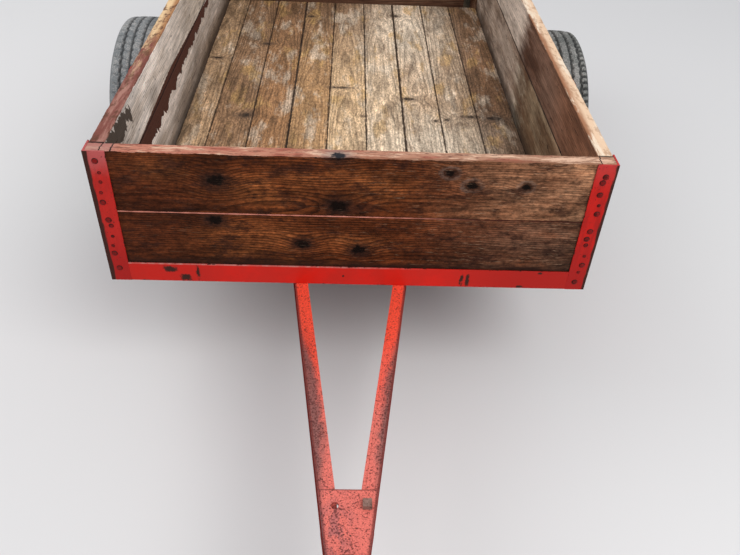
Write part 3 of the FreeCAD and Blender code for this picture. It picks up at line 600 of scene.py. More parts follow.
def knot_spot(w, given):
    """One knot: a ragged dark heart, a halo round it, and how far it pushes the rings apart."""
    near = w.vector("MULTIPLY", w.vector("SUBTRACT", given["Place"], given["Centre"]), given["Shape"])
    rough = w.math("SUBTRACT", w.noise(given["Place"], 90.0, detail=3.0), 0.5)
    away = w.vector("LENGTH", near)
    reach = w.math("MULTIPLY_ADD", rough, 1.3, away)
    push = w.math("EXPONENT", w.math("MULTIPLY", w.math("MULTIPLY", away, away), -0.13))
    return {"Heart": w.math("SUBTRACT", 1.0, w.ramp(reach, 0.6, 1.1)),
            "Halo": w.math("SUBTRACT", 1.0, w.ramp(reach, 0.7, 2.6)),
            "Push": w.math("MULTIPLY", push, given["Strength"])}


def flaked(w, given):
    """A ragged mask: 1 where the given level, roughened by noise, passes a half."""
    coarse = w.noise(w.vector("MULTIPLY", given["Place"], given["Stretch"]), 1.0, detail=6.0, rough=0.7)
    moved = w.stirred(given["Level"], coarse, given["Raggedness"])
    return {"Mask": w.ramp(moved, 0.45, 0.55)}


def spotted(w, given):
    """Specks: where fine noise passes a limit that falls as the amount grows."""
    fine = w.noise(given["Place"], given["Scale"], detail=3.0, rough=0.6)
    limit = w.math("SUBTRACT", 0.80, w.math("MULTIPLY", given["Amount"], 0.35))
    return {"Mask": w.ramp(fine, limit, w.math("ADD", limit, 0.05))}


GRAIN = effect("sawn_grain", {"Place": "vector", "Pith": "vector", "Rings": "value", "Wander": "value",
                              "Knots": "value"},
               {"Late": "value", "Fibre": "value", "Streak": "value", "Blotch": "value"}, sawn_grain)
KNOT = effect("knot_spot", {"Place": "vector", "Centre": "vector", "Shape": "vector",
                            "Strength": "value"},
              {"Heart": "value", "Halo": "value", "Push": "value"}, knot_spot)
FLAKES = effect("flaked_edge", {"Place": "vector", "Stretch": "vector", "Level": "value",
                                "Raggedness": "value"}, {"Mask": "value"}, flaked)
SPOTS = effect("speckles", {"Place": "vector", "Scale": "value", "Amount": "value"},
               {"Mask": "value"}, spotted)


def use(w, group, **inputs):
    made = w.node("ShaderNodeGroup", node_tree=group)
    for name, value in inputs.items():
        w.feed(value, made.inputs[name])
    return made.outputs


def surface(name, paint):
    """A material whose look paint(wiring, place) gives as sockets of the main shader."""
    material = bpy.data.materials.new(name)
    material.use_nodes = True
    tree = material.node_tree
    w = Wiring(tree)
    shader = tree.nodes["Principled BSDF"]
    place = w.node("ShaderNodeTexCoord").outputs["Object"]
    looks = paint(w, place)
    height, depth = looks.pop("Height")
    relief = w.node("ShaderNodeBump", {"Height": height, "Strength": 1.0, "Distance": depth})
    w.feed(relief.outputs["Normal"], shader.inputs["Normal"])
    for socket, value in looks.items():
        w.feed(value, shader.inputs[socket])
    return material


def axes_of(w, place):
    """x, the distance back from the front boards' face, and the height above the floor's top."""
    x, y, z = w.node("ShaderNodeSeparateXYZ", {0: place}).outputs
    return x, w.math("SUBTRACT", y, FRONT_Y), w.math("SUBTRACT", z, DECK)


def patch(w, across, up, middle, reach):
    """A soft oval spot: the bell of the distance from its middle, in units of its reach."""
    near = w.node("ShaderNodeCombineXYZ", {"X": w.math("SUBTRACT", across, middle[0]),
                                           "Y": w.math("SUBTRACT", up, middle[1])}).outputs[0]
    away = w.vector("LENGTH", w.vector("MULTIPLY", near, (1 / reach[0], 1 / reach[1], 0)))
    return w.math("EXPONENT", w.math("MULTIPLY", w.math("MULTIPLY", away, away), -1.0))


def along_y(w, place):
    """The place turned so that its first coordinate runs along the trailer."""
    x, y, z = w.node("ShaderNodeSeparateXYZ", {0: place}).outputs
    return w.node("ShaderNodeCombineXYZ", {"X": y, "Y": x, "Z": z}).outputs[0]


# Wood

def timber(w, place, pith, rings, wander, late_share, shade, knots=(), blotchy=1.1):
    """Sawn wood: the factor that shades its colour, its relief, its grain and its knots' masks.

    knots are rows of centre, shape and push. late_share is how dark the late wood of a ring is, and
    shade how far fibres, streaks and blotches swing the colour.
    """
    push, heart, halo = 0.0, 0.0, 0.0
    for centre, shape, strength in knots:
        made = use(w, KNOT, Place=place, Centre=centre, Shape=shape, Strength=strength)
        push = w.math("ADD", push, made["Push"])
        heart = w.math("MAXIMUM", heart, made["Heart"])
        halo = w.math("MAXIMUM", halo, made["Halo"])
    grain = use(w, GRAIN, Place=place, Pith=pith, Rings=rings, Wander=wander, Knots=push)
    factor = w.math("SUBTRACT", 1.0, w.math("MULTIPLY", grain["Late"], late_share))
    for output, share in (("Streak", 0.7), ("Fibre", 1.0), ("Blotch", blotchy)):
        swing = w.span(grain[output], 0.32, 0.68, 1 - shade * share, 1 + shade * share)
        factor = w.math("MULTIPLY", factor, swing)
    height = w.math("MULTIPLY_ADD", grain["Late"], 0.4, grain["Fibre"])
    height = w.math("MULTIPLY_ADD", heart, -1.5, height)
    return {"Factor": factor, "Height": height, "Heart": heart, "Halo": halo,
            "Fibre": grain["Fibre"], "Streak": grain["Streak"]}


# knots in the front boards: x and height over the floor in millimetres, size, push on the rings
UPPER_KNOTS = [(-339.5, 300, 1.42, 0.024), (-36, 232, 1.50, 0.013), (239, 339, 0.80, 0.013),
               (298, 304, 0.88, 0.014), (434, 304, 0.76, 0.011), (-39, 381, 1.3, 0.008)]
LOWER_KNOTS = [(-354, 180.5, 1.2, 0.012), (-130, 109, 1.25, 0.016), (20, 94, 1.20, 0.015)]
# where the front boards still show orange: x, height over the floor, half width, half height
UPPER_ORANGE = [(-0.20, 0.275, 0.15, 0.05), (0.04, 0.30, 0.12, 0.05), (-0.48, 0.33, 0.08, 0.03)]
LOWER_ORANGE = [(0.01, 0.115, 0.10, 0.028), (-0.27, 0.12, 0.14, 0.06), (-0.14, 0.05, 0.10, 0.03)]


def front_knots(rows):
    """Knots that run through the face, and one, higher than the wall, that opens on the top edge."""
    made = []
    for x, z, size, push in rows:
        on_top = z * MM > WALL_HEIGHT
        centre = (x * MM, FRONT_Y + 7 * MM * on_top, DECK + z * MM)
        shape = (1 / (17 * MM * size), on_top / (14 * MM * size), 1 / (12 * MM * size))
        made.append((centre, shape, push))
    return made


def front_stain(w, upper, x, z, cloud):
    """The front boards' stain: dark, orange in places, darkest at left, dull and greyer at right."""
    warm = 0.0
    for across, up, wide, tall in UPPER_ORANGE if upper else LOWER_ORANGE:
        warm = w.math("ADD", warm, patch(w, x, z, (across, up), (wide, tall)))
    warm = w.math("MULTIPLY", warm, w.span(cloud, 0.38, 0.60, 0.15, 1.0), clamp=True)
    tone = w.mix(warm, (0.090, 0.022, 0.006, 1), (0.245, 0.076, 0.022, 1))
    tone = w.over(tone, (0.045, 0.010, 0.004, 1), w.ramp(x, -0.28, -0.56), 0.45)
    dull = (0.36, 0.175, 0.092, 1) if upper else (0.132, 0.065, 0.038, 1)
    return w.over(tone, dull, w.ramp(x, 0.10, 0.60), w.span(cloud, 0.32, 0.60, 0.3, 1.0))


def front_marks(w, tone, place, x, stain, heart, halo):
    """Over the front boards' grain: black stains, knots in broken pale rings, mottle and scratches."""
    tone = w.over(tone, (0.024, 0.008, 0.005, 1), w.ramp(stain, 0.50, 0.62), 0.72)
    ring = w.math("MULTIPLY", w.ramp(halo, 0.02, 0.30), w.ramp(halo, 0.85, 0.50))
    tone = w.over(tone, (0.022, 0.009, 0.006, 1), halo, 0.85)
    broken = w.math("MULTIPLY", w.ramp(x, 0.1, 0.2), w.span(stain, 0.38, 0.60, 0.42, 0.0))
    tone = w.over(tone, (0.20, 0.150, 0.125, 1), ring, broken)
    tone = w.mix(heart, tone, (0.005, 0.002, 0.001, 1))
    # columns: the mottle's scale on each axis, its darkest and palest factor
    for scale, low, high in (((75.0, 75.0, 120.0), 0.46, 1.54), ((26.0, 26.0, 48.0), 0.78, 1.22)):
        mottle = w.span(w.pattern(place, scale, detail=5.0, rough=0.75), 0.33, 0.67, low, high)
        tone = w.shaded(tone, mottle)
    scratch = w.pattern(place, (26.0, 26.0, 330.0), detail=4.0, rough=0.7)
    more_at_right = w.span(x, -0.2, 0.5, 0.12, 0.65)
    return w.over(tone, (0.42, 0.26, 0.16, 1), w.ramp(scratch, 0.60, 0.70), more_at_right)


def front_wood(upper):
    """Dark stained front boards: the upper one's top edge is weathered, the lower one has a pink lip."""
    knots = front_knots(UPPER_KNOTS if upper else LOWER_KNOTS)

    def paint(w, place):
        x, back, z = axes_of(w, place)
        pith = (0.0, FRONT_Y + 0.085, DECK + (0.225 if upper else 0.035))
        # the rings show best in the middle
        drawn = w.math("MULTIPLY", w.span(x, -0.05, 0.45, 0.66, 0.36), w.span(x, -0.50, -0.15, 0.60, 1.0))
        wood = timber(w, place, pith, 185.0, 0.036, drawn, 0.50, knots)
        heart, halo = wood["Heart"], wood["Halo"]
        cloud = w.pattern(place, (7.0, 7.0, 15.0), detail=6.0, rough=0.7)
        stain = w.pattern(place, (9.0, 9.0, 22.0), detail=6.0, rough=0.72, shift=(0.3, 0, 0.7))
        tone = w.shaded(front_stain(w, upper, x, z, cloud), wood["Factor"])
        tone = front_marks(w, tone, place, x, stain, heart, halo)
        if upper:
            level = w.math("MULTIPLY_ADD", w.math("SUBTRACT", z, WALL_HEIGHT - 0.0028), 130.0, 0.5)
            edge = use(w, FLAKES, Place=place, Stretch=(22.0, 22.0, 60.0), Level=level,
                       Raggedness=1.5)["Mask"]
            tone = w.mix(edge, tone, weathered_top(w, place, x, back))
            tone = w.over(tone, (0.13, 0.115, 0.12, 1), w.math("MULTIPLY", halo, edge), 0.55)
            tone = w.over(tone, (0.022, 0.022, 0.026, 1), heart, edge)
        else:
            lip = w.math("MULTIPLY", w.ramp(z, END_SEAM - 0.0031, END_SEAM - 0.0016),
                         w.ramp(back, 0.010, 0.0))
            pink = w.mix(w.ramp(x, 0.05, 0.35), (0.60, 0.22, 0.16, 1), (0.050, 0.012, 0.008, 1))
            tone = w.over(tone, pink, lip, w.span(cloud, 0.34, 0.44, 0.3, 0.95))
            # dirt at the foot, over the rail
            tone = w.over(tone, (0.022, 0.009, 0.006, 1), w.ramp(z, 0.060, 0.040),
                          w.span(stain, 0.35, 0.55, 0.4, 0.95))
        return {"Base Color": tone, "Roughness": w.math("MULTIPLY_ADD", wood["Fibre"], 0.3, 0.45),
                "Specular IOR Level": 0.06, "Height": (wood["Height"], 0.8 * MM)}
    return surface("front_wood_upper" if upper else "front_wood_lower", paint)


def weathered_top(w, place, x, back):
    """The front board's top edge: old pink paint over raw wood, cracked, browner in front at right."""
    coarse = w.pattern(place, (9.0, 45.0, 45.0), detail=6.0, rough=0.68)
    fine = w.pattern(place, (40.0, 220.0, 220.0), detail=4.0, rough=0.65)
    pink, raw = (0.50, 0.190, 0.128, 1), (0.37, 0.215, 0.135, 1)
    tone = w.mix(w.span(x, -0.45, 0.45, 0.15, 0.85), pink, raw)
    tone = w.mix(w.ramp(coarse, 0.51, 0.60), tone, (0.66, 0.42, 0.29, 1))
    tone = w.over(tone, (0.34, 0.090, 0.060, 1), w.ramp(coarse, 0.47, 0.38), 0.75)
    tone = w.over(tone, (0.12, 0.045, 0.030, 1), w.ramp(fine, 0.52, 0.64), 0.75)
    in_front = w.ramp(w.stirred(back, coarse, 0.022), 0.008, 0.002)
    worn = w.math("MULTIPLY", in_front, w.ramp(x, -0.3, 0.3))
    tone = w.over(tone, (0.20, 0.085, 0.045, 1), worn, 0.7)
    corner = w.ramp(x, -0.565, -0.60)
    tone = w.over(tone, (0.36, 0.155, 0.135, 1), corner, 0.7)
    crooked = w.stirred(x, coarse, 0.02)
    for crack in (-0.612, -0.586, 0.611):
        tone = w.mix(w.line(crooked, crack, 0.0022, 0.0010), tone, (0.02, 0.012, 0.010, 1))
    return tone


def flames(w, place, back, z):
    """The left wall's bare dark wood: a band by the seam, its lower edge torn, and a patch in front.

    Its upper and lower edges are smooth steps of the distance back, torn by ridged noise whose
    ridges lean forwards.
    """
    leaning = w.vector("MULTIPLY_ADD", w.all_three(z), (0.55, 0.0, 0.0), along_y(w, place))
    spikes = w.pattern(leaning, (8.0, 0.0, 2.0), detail=3.0, rough=0.55)
    ridge = w.math("SUBTRACT", 1.0, w.math("ABSOLUTE", w.math("MULTIPLY_ADD", spikes, 5.0, -2.5)),
                   clamp=True)
    small = w.math("SUBTRACT", w.pattern(leaning, (60.0, 0.0, 14.0), detail=4.0), 0.5)
    upper_edge = w.math("ADD", w.span(back, 0.75, 1.6, 0.243, 0.206),
                        w.span(back, 0.25, 0.75, -0.022, 0.0))
    lower_edge = w.math("ADD", w.span(back, 0.30, 0.80, 0.062, 0.138), w.span(back, 0.8, 1.6, 0.0, 0.03))
    upper_edge = w.math("MULTIPLY_ADD", small, 0.014, upper_edge)
    torn = w.math("MULTIPLY_ADD", ridge, w.span(back, 0.25, 0.9, 0.092, 0.030), lower_edge)
    torn = w.math("MULTIPLY_ADD", small, 0.018, torn)
    band = w.math("MULTIPLY", w.ramp(w.math("SUBTRACT", upper_edge, z), 0.0, 0.002),
                  w.ramp(w.math("SUBTRACT", z, torn), 0.0, 0.002))
    reach = w.math("ADD", w.math("MULTIPLY_ADD", small, 0.5, patch(w, back, z, (0.16, 0.335),
                                                                   (0.20, 0.065))),
                   w.math("MULTIPLY", ridge, -0.45))
    return w.math("MAXIMUM", band, w.ramp(reach, 0.36, 0.40))


def left_wall(w, back, z, cloud):
    """The left wall's inside: pale, browner at the foot, dimmer above the seam further back."""
    tone = w.mix(w.ramp(cloud, 0.40, 0.62), (0.56, 0.475, 0.40, 1), (0.86, 0.77, 0.69, 1))
    tone = w.over(tone, (0.165, 0.100, 0.055, 1), w.ramp(z, 0.17, 0.03), w.span(back, 0.4, 1.5, 0.36, 0.80))
    dimmer = w.mix(1.0, tone, (0.66, 0.61, 0.52, 1), blend="MULTIPLY")
    return w.over(tone, dimmer, w.ramp(z, 0.21, 0.22), w.span(back, 0.6, 1.9, 0.0, 1.0))


def right_wall(w, upper, back, z, cloud):
    """The right wall's inside: brown in painted shade in front, grey in painted sunlight further back,
    redder up in the front corner.
    """
    # brown is the wall in painted shade, the grey below is the wall in painted sunlight
    brown = w.mix(w.ramp(cloud, 0.40, 0.60), (0.100, 0.043, 0.025, 1), (0.200, 0.108, 0.072, 1))
    grey_in_painted_sun = w.mix(w.ramp(cloud, 0.38, 0.60), (0.25, 0.175, 0.128, 1), (0.51, 0.404, 0.324, 1))
    if upper:
        grey_in_painted_sun = w.mix(0.45, grey_in_painted_sun, (0.86, 0.75, 0.65, 1))
    # the painted sunlight reaches further forwards low down and in patches
    far = w.stirred(w.math("ADD", back, w.span(z, 0.0, 0.30, 0.14, 0.0)), cloud, 0.5)
    tone = w.mix(w.ramp(far, 0.90, 1.14), brown, grey_in_painted_sun)
    # the lower board made paler in front: painted sunlight reaching forwards
    paler_in_painted_sun = w.mix(1.0, tone, (1.65, 2.20, 2.05, 1), blend="MULTIPLY")
    tone = w.over(tone, paler_in_painted_sun, w.ramp(z, 0.218, 0.214), w.ramp(back, 1.1, 0.7))
    hazy = w.math("MULTIPLY", patch(w, back, z, (0.52, 0.29), (0.20, 0.055)),
                  w.span(cloud, 0.40, 0.60, 0.3, 1.0))
    tone = w.over(tone, (0.32, 0.22, 0.165, 1), hazy, 0.2)
    from_corner = w.math("ADD", back, w.math("SUBTRACT", 0.37, z))
    return w.over(tone, (0.34, 0.145, 0.075, 1), w.ramp(from_corner, 0.70, 0.25),
                  w.span(cloud, 0.40, 0.60, 0.35, 0.9))


def side_wood(side, upper):
    """Side boards: weathered grey inside, stained outside, raw wood or old paint on the top edge.

    The left wall is pale with bare dark flames; the right one is brown in painted shade in front.
    """
    sign = -1 if side == "left" else 1

    def paint(w, place):
        x, back, z = axes_of(w, place)
        turned = along_y(w, place)
        pith = (0.0, sign * (INSIDE + 0.09), DECK + (0.22 if upper else 0.03))
        wood = timber(w, turned, pith, 165.0, 0.050, 0.24, 0.30)
        cloud = w.pattern(turned, (3.0, 9.0, 12.0), detail=6.0, rough=0.66)
        if side == "left":
            tone = left_wall(w, back, z, cloud)
        else:
            tone = right_wall(w, upper, back, z, cloud)
        tone = w.shaded(tone, wood["Factor"])
        if side == "left":
            bare = w.mix(wood["Fibre"], (0.040, 0.013, 0.009, 1), (0.125, 0.045, 0.030, 1))
            greyer = w.mix(wood["Fibre"], (0.035, 0.026, 0.020, 1), (0.130, 0.100, 0.080, 1))
            bare = w.mix(w.ramp(z, 0.26, 0.28), bare, greyer)
            tone = w.mix(flames(w, place, back, z), tone, bare)
        # painted shade at the foot, where the wall meets the floor, and short splits along the grain
        tone = w.over(tone, (0.040, 0.024, 0.016, 1), w.ramp(z, 0.055, 0.008), 0.75)
        flecks = w.pattern(turned, (24.0, 170.0, 170.0), detail=3.0, rough=0.6)
        tone = w.over(tone, (0.035, 0.020, 0.014, 1), w.ramp(flecks, 0.645, 0.68), 0.85)
        outside = w.ramp(w.math("MULTIPLY", x, sign), INSIDE + BOARD - 0.004, INSIDE + BOARD - 0.001)
        faded = w.mix(w.ramp(cloud, 0.38, 0.62), (0.15, 0.053, 0.024, 1), (0.215, 0.095, 0.048, 1))
        tone = w.mix(outside, tone, w.shaded(faded, wood["Factor"]))
        # the seam between the boards: dark from wear and from painted shade in the groove
        tone = w.over(tone, (0.020, 0.010, 0.008, 1), w.line(z, SIDE_SEAM, 0.0045, 0.0020), 0.9)
        if upper:
            level = w.math("MULTIPLY_ADD", w.math("SUBTRACT", z, WALL_HEIGHT - 0.0035), 110.0, 0.5)
            edge = use(w, FLAKES, Place=turned, Stretch=(16.0, 60.0, 60.0), Level=level,
                       Raggedness=1.4)["Mask"]
            tone = w.mix(edge, tone, side_top(w, turned, side, x, back))
        # the shadow where the board meets the front wall
        butt = w.ramp(back, BOARD + 0.0055, BOARD + 0.0025)
        tone = w.over(tone, (0.015, 0.009, 0.008, 1), butt, 0.9)
        return {"Base Color": tone, "Roughness": 0.85, "Specular IOR Level": 0.15,
                "Height": (wood["Height"], 0.9 * MM)}
    return surface(f"{side}_wood_{'upper' if upper else 'lower'}", paint)


def side_top(w, turned, side, x, back):
    """A side wall's top edge: split fibres that lean across it, browner towards the inside."""
    sign = -1 if side == "left" else 1
    slanted = w.vector("MULTIPLY_ADD", turned, (1.0, 0.25 * sign, 0.0),
                       w.vector("MULTIPLY", along_y(w, turned), (0.4 * sign, 0.0, 0.0)))
    fibres = w.pattern(slanted, (18.0, 150.0, 1.0), detail=5.0, rough=0.72)
    coarse = w.pattern(turned, (6.0, 40.0, 40.0), detail=5.0, rough=0.66)
    out = w.stirred(w.math("SUBTRACT", w.math("MULTIPLY", x, sign), INSIDE), coarse, 0.03)
    if side == "left":
        raw = w.mix(w.ramp(out, 0.006, 0.026), (0.40, 0.195, 0.085, 1), (0.74, 0.51, 0.28, 1))
        red = w.mix(w.ramp(coarse, 0.42, 0.60), (0.19, 0.060, 0.045, 1), (0.36, 0.175, 0.135, 1))
        near = w.stirred(w.stirred(back, coarse, 1.3), fibres, 1.2)
        tone = w.mix(w.ramp(near, 0.80, 0.42), raw, red)
        dark, share = (0.11, 0.044, 0.026, 1), 0.85
    else:
        tone = w.mix(w.ramp(out, 0.002, 0.020), (0.36, 0.165, 0.085, 1), (0.74, 0.52, 0.35, 1))
        tone = w.mix(w.ramp(coarse, 0.52, 0.64), tone, (0.80, 0.65, 0.49, 1))
        dark, share = (0.30, 0.145, 0.075, 1), 0.5
    return w.over(tone, dark, w.ramp(fibres, 0.49, 0.60), share)


def floor_knots():
    """Knots and short cross cracks in the planks: x, distance back, half length, half width."""
    rows = [(-0.566, 1.423, 22, 15), (-0.397, 0.920, 27, 26), (-0.376, 1.586, 20, 18),
            (-0.050, 1.174, 40, 13), (0.201, 1.971, 26, 22), (0.221, 1.091, 32, 20),
            (0.448, 0.957, 40, 16), (0.312, 0.917, 11, 14), (0.354, 0.928, 9, 14),
            (0.040, 0.939, 10, 12), (0.535, 0.950, 34, 22), (-0.20, 1.93, 20, 18)]
    return [((FRONT_Y + back, x, DECK), (1.5 / (wide * MM), 1.1 / (long * MM), 0.0), 0.012)
            for x, back, long, wide in rows]


# the planks' tones, from the one by the right wall to the narrow one by the left wall; set light enough to
# hold a painted wet sheen as well as the wood's colour
PLANK_TONES = [(0.205, 0.105, 0.052), (0.42, 0.28, 0.172), (0.60, 0.41, 0.255), (0.74, 0.53, 0.335),
               (0.71, 0.475, 0.265), (0.49, 0.275, 0.125), (0.38, 0.192, 0.085), (0.345, 0.195, 0.102),
               (0.52, 0.33, 0.185)]


def floor_stains(w, tone, x, back, cloud, ochre):
    """Under the floor's grain: a dark patch far back, a dark corner, pale worn patches and clouds."""
    tone = w.over(tone, (0.235, 0.130, 0.070, 1), patch(w, x, back, (-0.08, 2.05), (0.33, 0.62)), 0.95)
    corner = w.math("MULTIPLY", w.ramp(x, 0.47, 0.50), w.ramp(back, 1.1, 1.6))
    tone = w.over(tone, (0.33, 0.175, 0.088, 1), corner, 0.6)
    pale = w.math("ADD", patch(w, x, back, (0.25, 1.80), (0.17, 0.50)),
                  patch(w, x, back, (0.28, 0.75), (0.22, 0.20)), clamp=True)
    tone = w.over(tone, (0.80, 0.66, 0.50, 1), pale, 0.76)
    tone = w.over(tone, (0.70, 0.57, 0.43, 1), w.ramp(cloud, 0.50, 0.62), 0.55)
    tone = w.over(tone, (0.55, 0.33, 0.12, 1), w.ramp(ochre, 0.54, 0.66), 0.6)
    return w.over(tone, (0.19, 0.105, 0.055, 1), w.ramp(cloud, 0.47, 0.38), 0.45)


def floor_marks(w, tone, place, shifted, cloud, ochre, wood):
    """Over the floor's grain: mottle at three scales, dark specks and spots, pale flecks and knots."""
    # columns: the mottle's scale on each axis, its darkest and palest factor
    for scale, low, high in (((70.0, 160.0, 160.0), 0.52, 1.48), ((20.0, 46.0, 46.0), 0.84, 1.16),
                             ((5.0, 12.0, 12.0), 0.83, 1.17)):
        mottle = w.span(w.pattern(shifted, scale, detail=4.0, rough=0.7), 0.33, 0.67, low, high)
        tone = w.shaded(tone, mottle)
    specks = use(w, SPOTS, Place=place, Scale=230.0, Amount=w.span(ochre, 0.35, 0.6, 0.66, 0.30))
    tone = w.over(tone, (0.055, 0.034, 0.024, 1), specks["Mask"], 0.75)
    spots = use(w, SPOTS, Place=place, Scale=75.0, Amount=w.span(cloud, 0.45, 0.62, 0.18, 0.46))
    tone = w.over(tone, (0.050, 0.032, 0.028, 1), spots["Mask"], 0.7)
    flecks = use(w, SPOTS, Place=shifted, Scale=140.0, Amount=0.36)["Mask"]
    tone = w.over(tone, (0.88, 0.76, 0.60, 1), flecks, 0.25)
    tone = w.over(tone, (0.10, 0.062, 0.042, 1), wood["Halo"], 0.55)
    broken = w.span(wood["Streak"], 0.42, 0.56, 0.35, 0.9)
    return w.over(tone, (0.022, 0.015, 0.011, 1), wood["Heart"], broken)


def floor_wood():
    """Worn floor planks: each its own tone, stained and speckled, dirty along the seams, with painted shade
    by each wall and underneath.
    """
    def paint(w, place):
        x, back, z = axes_of(w, place)
        number = w.math("FLOOR", w.math("DIVIDE", w.math("SUBTRACT", INSIDE, x), PLANK))
        own = w.node("ShaderNodeTexWhiteNoise", {"W": number}, noise_dimensions="1D").outputs["Color"]
        turned = along_y(w, place)
        shifted = w.vector("MULTIPLY_ADD", own, (0.0, 0.0, 0.04), turned)
        middle = w.math("SUBTRACT", INSIDE, w.math("MULTIPLY", w.math("ADD", number, 0.5), PLANK))
        pith = w.node("ShaderNodeCombineXYZ", {"X": 0.0, "Y": middle, "Z": DECK - 0.05}).outputs[0]
        wood = timber(w, shifted, pith, 150.0, 0.034, 0.36, 0.32, floor_knots(), 0.6)
        stops = [((index - 0.5) / 9, colour) for index, colour in enumerate(PLANK_TONES)]
        tone = w.colours(w.math("DIVIDE", number, 9.0), stops, "CONSTANT")
        cloud = w.pattern(shifted, (4.0, 11.0, 11.0), detail=6.0, rough=0.68)
        ochre = w.pattern(shifted, (5.0, 13.0, 13.0), detail=4.0, rough=0.6, shift=(2, 5, 0))
        tone = w.shaded(floor_stains(w, tone, x, back, cloud, ochre), wood["Factor"])
        tone = floor_marks(w, tone, place, shifted, cloud, ochre, wood)
        # painted shade on the floor by each wall, strongest in front
        wall_shade = w.math("MAXIMUM", w.ramp(x, INSIDE - 0.07, INSIDE - 0.005),
                       w.ramp(x, 0.045 - INSIDE, 0.004 - INSIDE))
        tone = w.over(tone, (0.070, 0.042, 0.026, 1), wall_shade, w.span(back, 0.6, 1.4, 0.5, 0.05))
        seam = use(w, FLAKES, Place=turned, Stretch=(30.0, 30.0, 30.0),
                   Level=w.math("MULTIPLY_ADD", w.attribute("edge"), 0.80, -0.21), Raggedness=0.9)["Mask"]
        tone = w.over(tone, (0.040, 0.022, 0.014, 1), seam, 0.80)
        # painted shade: the planks' underside is dark
        tone = w.mix(w.ramp(z, -0.004, -0.012), tone, (0.085, 0.052, 0.033, 1))
        return {"Base Color": tone, "Roughness": 0.75, "Specular IOR Level": 0.2,
                "Height": (w.math("ADD", wood["Height"], cloud), 1.0 * MM)}
    return surface("floor_wood", paint)


def gate_wood():
    """The gate in the shade: dark brown with a few worn streaks."""
    def paint(w, place):
        pith = (0.0, FRONT_Y + 2.2044, DECK + 0.1)    # a little behind the gate
        wood = timber(w, place, pith, 160.0, 0.035, 0.5, 0.32)
        worn = w.pattern(place, (5.0, 60.0, 60.0), detail=5.0, rough=0.65)
        tone = w.mix(w.ramp(worn, 0.48, 0.66), (0.115, 0.052, 0.030, 1), (0.19, 0.105, 0.065, 1))
        tone = w.shaded(tone, wood["Factor"])
        height = axes_of(w, place)[2]
        tone = w.over(tone, (0.015, 0.008, 0.006, 1), w.line(height, END_SEAM, 0.0045, 0.0020), 0.9)
        return {"Base Color": tone, "Roughness": 0.8, "Specular IOR Level": 0.15,
                "Height": (wood["Height"], 1.0 * MM)}
    return surface("gate_wood", paint)


# Steel, paint and rubber

# rust at chips and edges, and also the colour of the painted shade at the front posts' outer corners
RUST_AND_SHADE = (0.045, 0.014, 0.010, 1)
# chipped places on the front rail: x, height over the floor, half width, half height
RAIL_MARKS = [(-0.450, -0.012, 0.021, 0.018), (-0.488, 0.018, 0.030, 0.016), (-0.415, 0.008, 0.009, 0.036),
              (0.305, 0.004, 0.009, 0.034), (0.321, 0.0, 0.008, 0.030), (-0.021, 0.006, 0.005, 0.006),
              (0.520, 0.030, 0.010, 0.006), (0.470, -0.018, 0.012, 0.006)]


def post_red(w, z, slow, streaks, left):
    """The posts' red: streaky, duller on the left one, darker at the foot, faded on top."""
    tone = w.mix(w.ramp(streaks, 0.40, 0.62), (0.50, 0.009, 0.005, 1), (0.365, 0.008, 0.005, 1))
    tone = w.over(tone, (0.42, 0.021, 0.015, 1), left, 0.5)
    tone = w.mix(w.ramp(z, 0.16, 0.02), tone, (0.355, 0.008, 0.006, 1))
    on_top = w.ramp(w.math("MULTIPLY_ADD", slow, 0.12, z), 0.36, 0.44)
    return w.over(tone, (0.43, 0.10, 0.095, 1), on_top, w.math("MULTIPLY_ADD", left, 0.56, 0.26))


def post_corner_shade(w, x, back, streaks, left):
    """Painted shade along the rounded outer corner of the front posts' faces, more on the left one."""
    outer = w.stirred(w.math("ABSOLUTE", x), streaks, 0.016)
    corner_shade = w.ramp(w.math("MULTIPLY_ADD", left, 0.0045, outer), INSIDE + BOARD - 0.005,
                    INSIDE + BOARD - 0.001)
    return w.math("MULTIPLY", corner_shade, w.ramp(back, -0.0030, -0.0040))


def rail_red(w, x, back, z, slow, streaks):
    """The rails' red: darker at the front rail's ends, pale along its top edge at left and in the middle.
    """
    tone = w.mix(w.ramp(slow, 0.40, 0.60), (0.63, 0.013, 0.006, 1), (0.54, 0.015, 0.008, 1))
    ends = w.math("MAXIMUM", w.ramp(x, 0.20, 0.48), w.math("MULTIPLY", w.ramp(x, -0.20, -0.48), 0.5))
    tone = w.over(tone, (0.385, 0.010, 0.006, 1), ends, w.ramp(back, 0.3, 0.1))
    lip = w.math("MULTIPLY", w.ramp(z, 0.0325, 0.0345), w.ramp(z, 0.040, 0.038))
    return w.over(tone, (0.52, 0.20, 0.17, 1), w.math("MULTIPLY", lip, w.ramp(x, 0.25, -0.05)),
                  w.span(streaks, 0.40, 0.60, 0.9, 0.35))


def rail_marks(w, place, x, z):
    """Chipped places on the front rail, their edges ragged."""
    marks = 0.0
    for across, up, wide, tall in RAIL_MARKS:
        marks = w.math("MAXIMUM", marks, patch(w, x, z, (across, up), (wide, tall)))
    ragged = w.pattern(place, (75.0, 75.0, 45.0), detail=5.0, rough=0.72)
    return w.ramp(w.stirred(marks, ragged, 1.7), 0.50, 0.86)


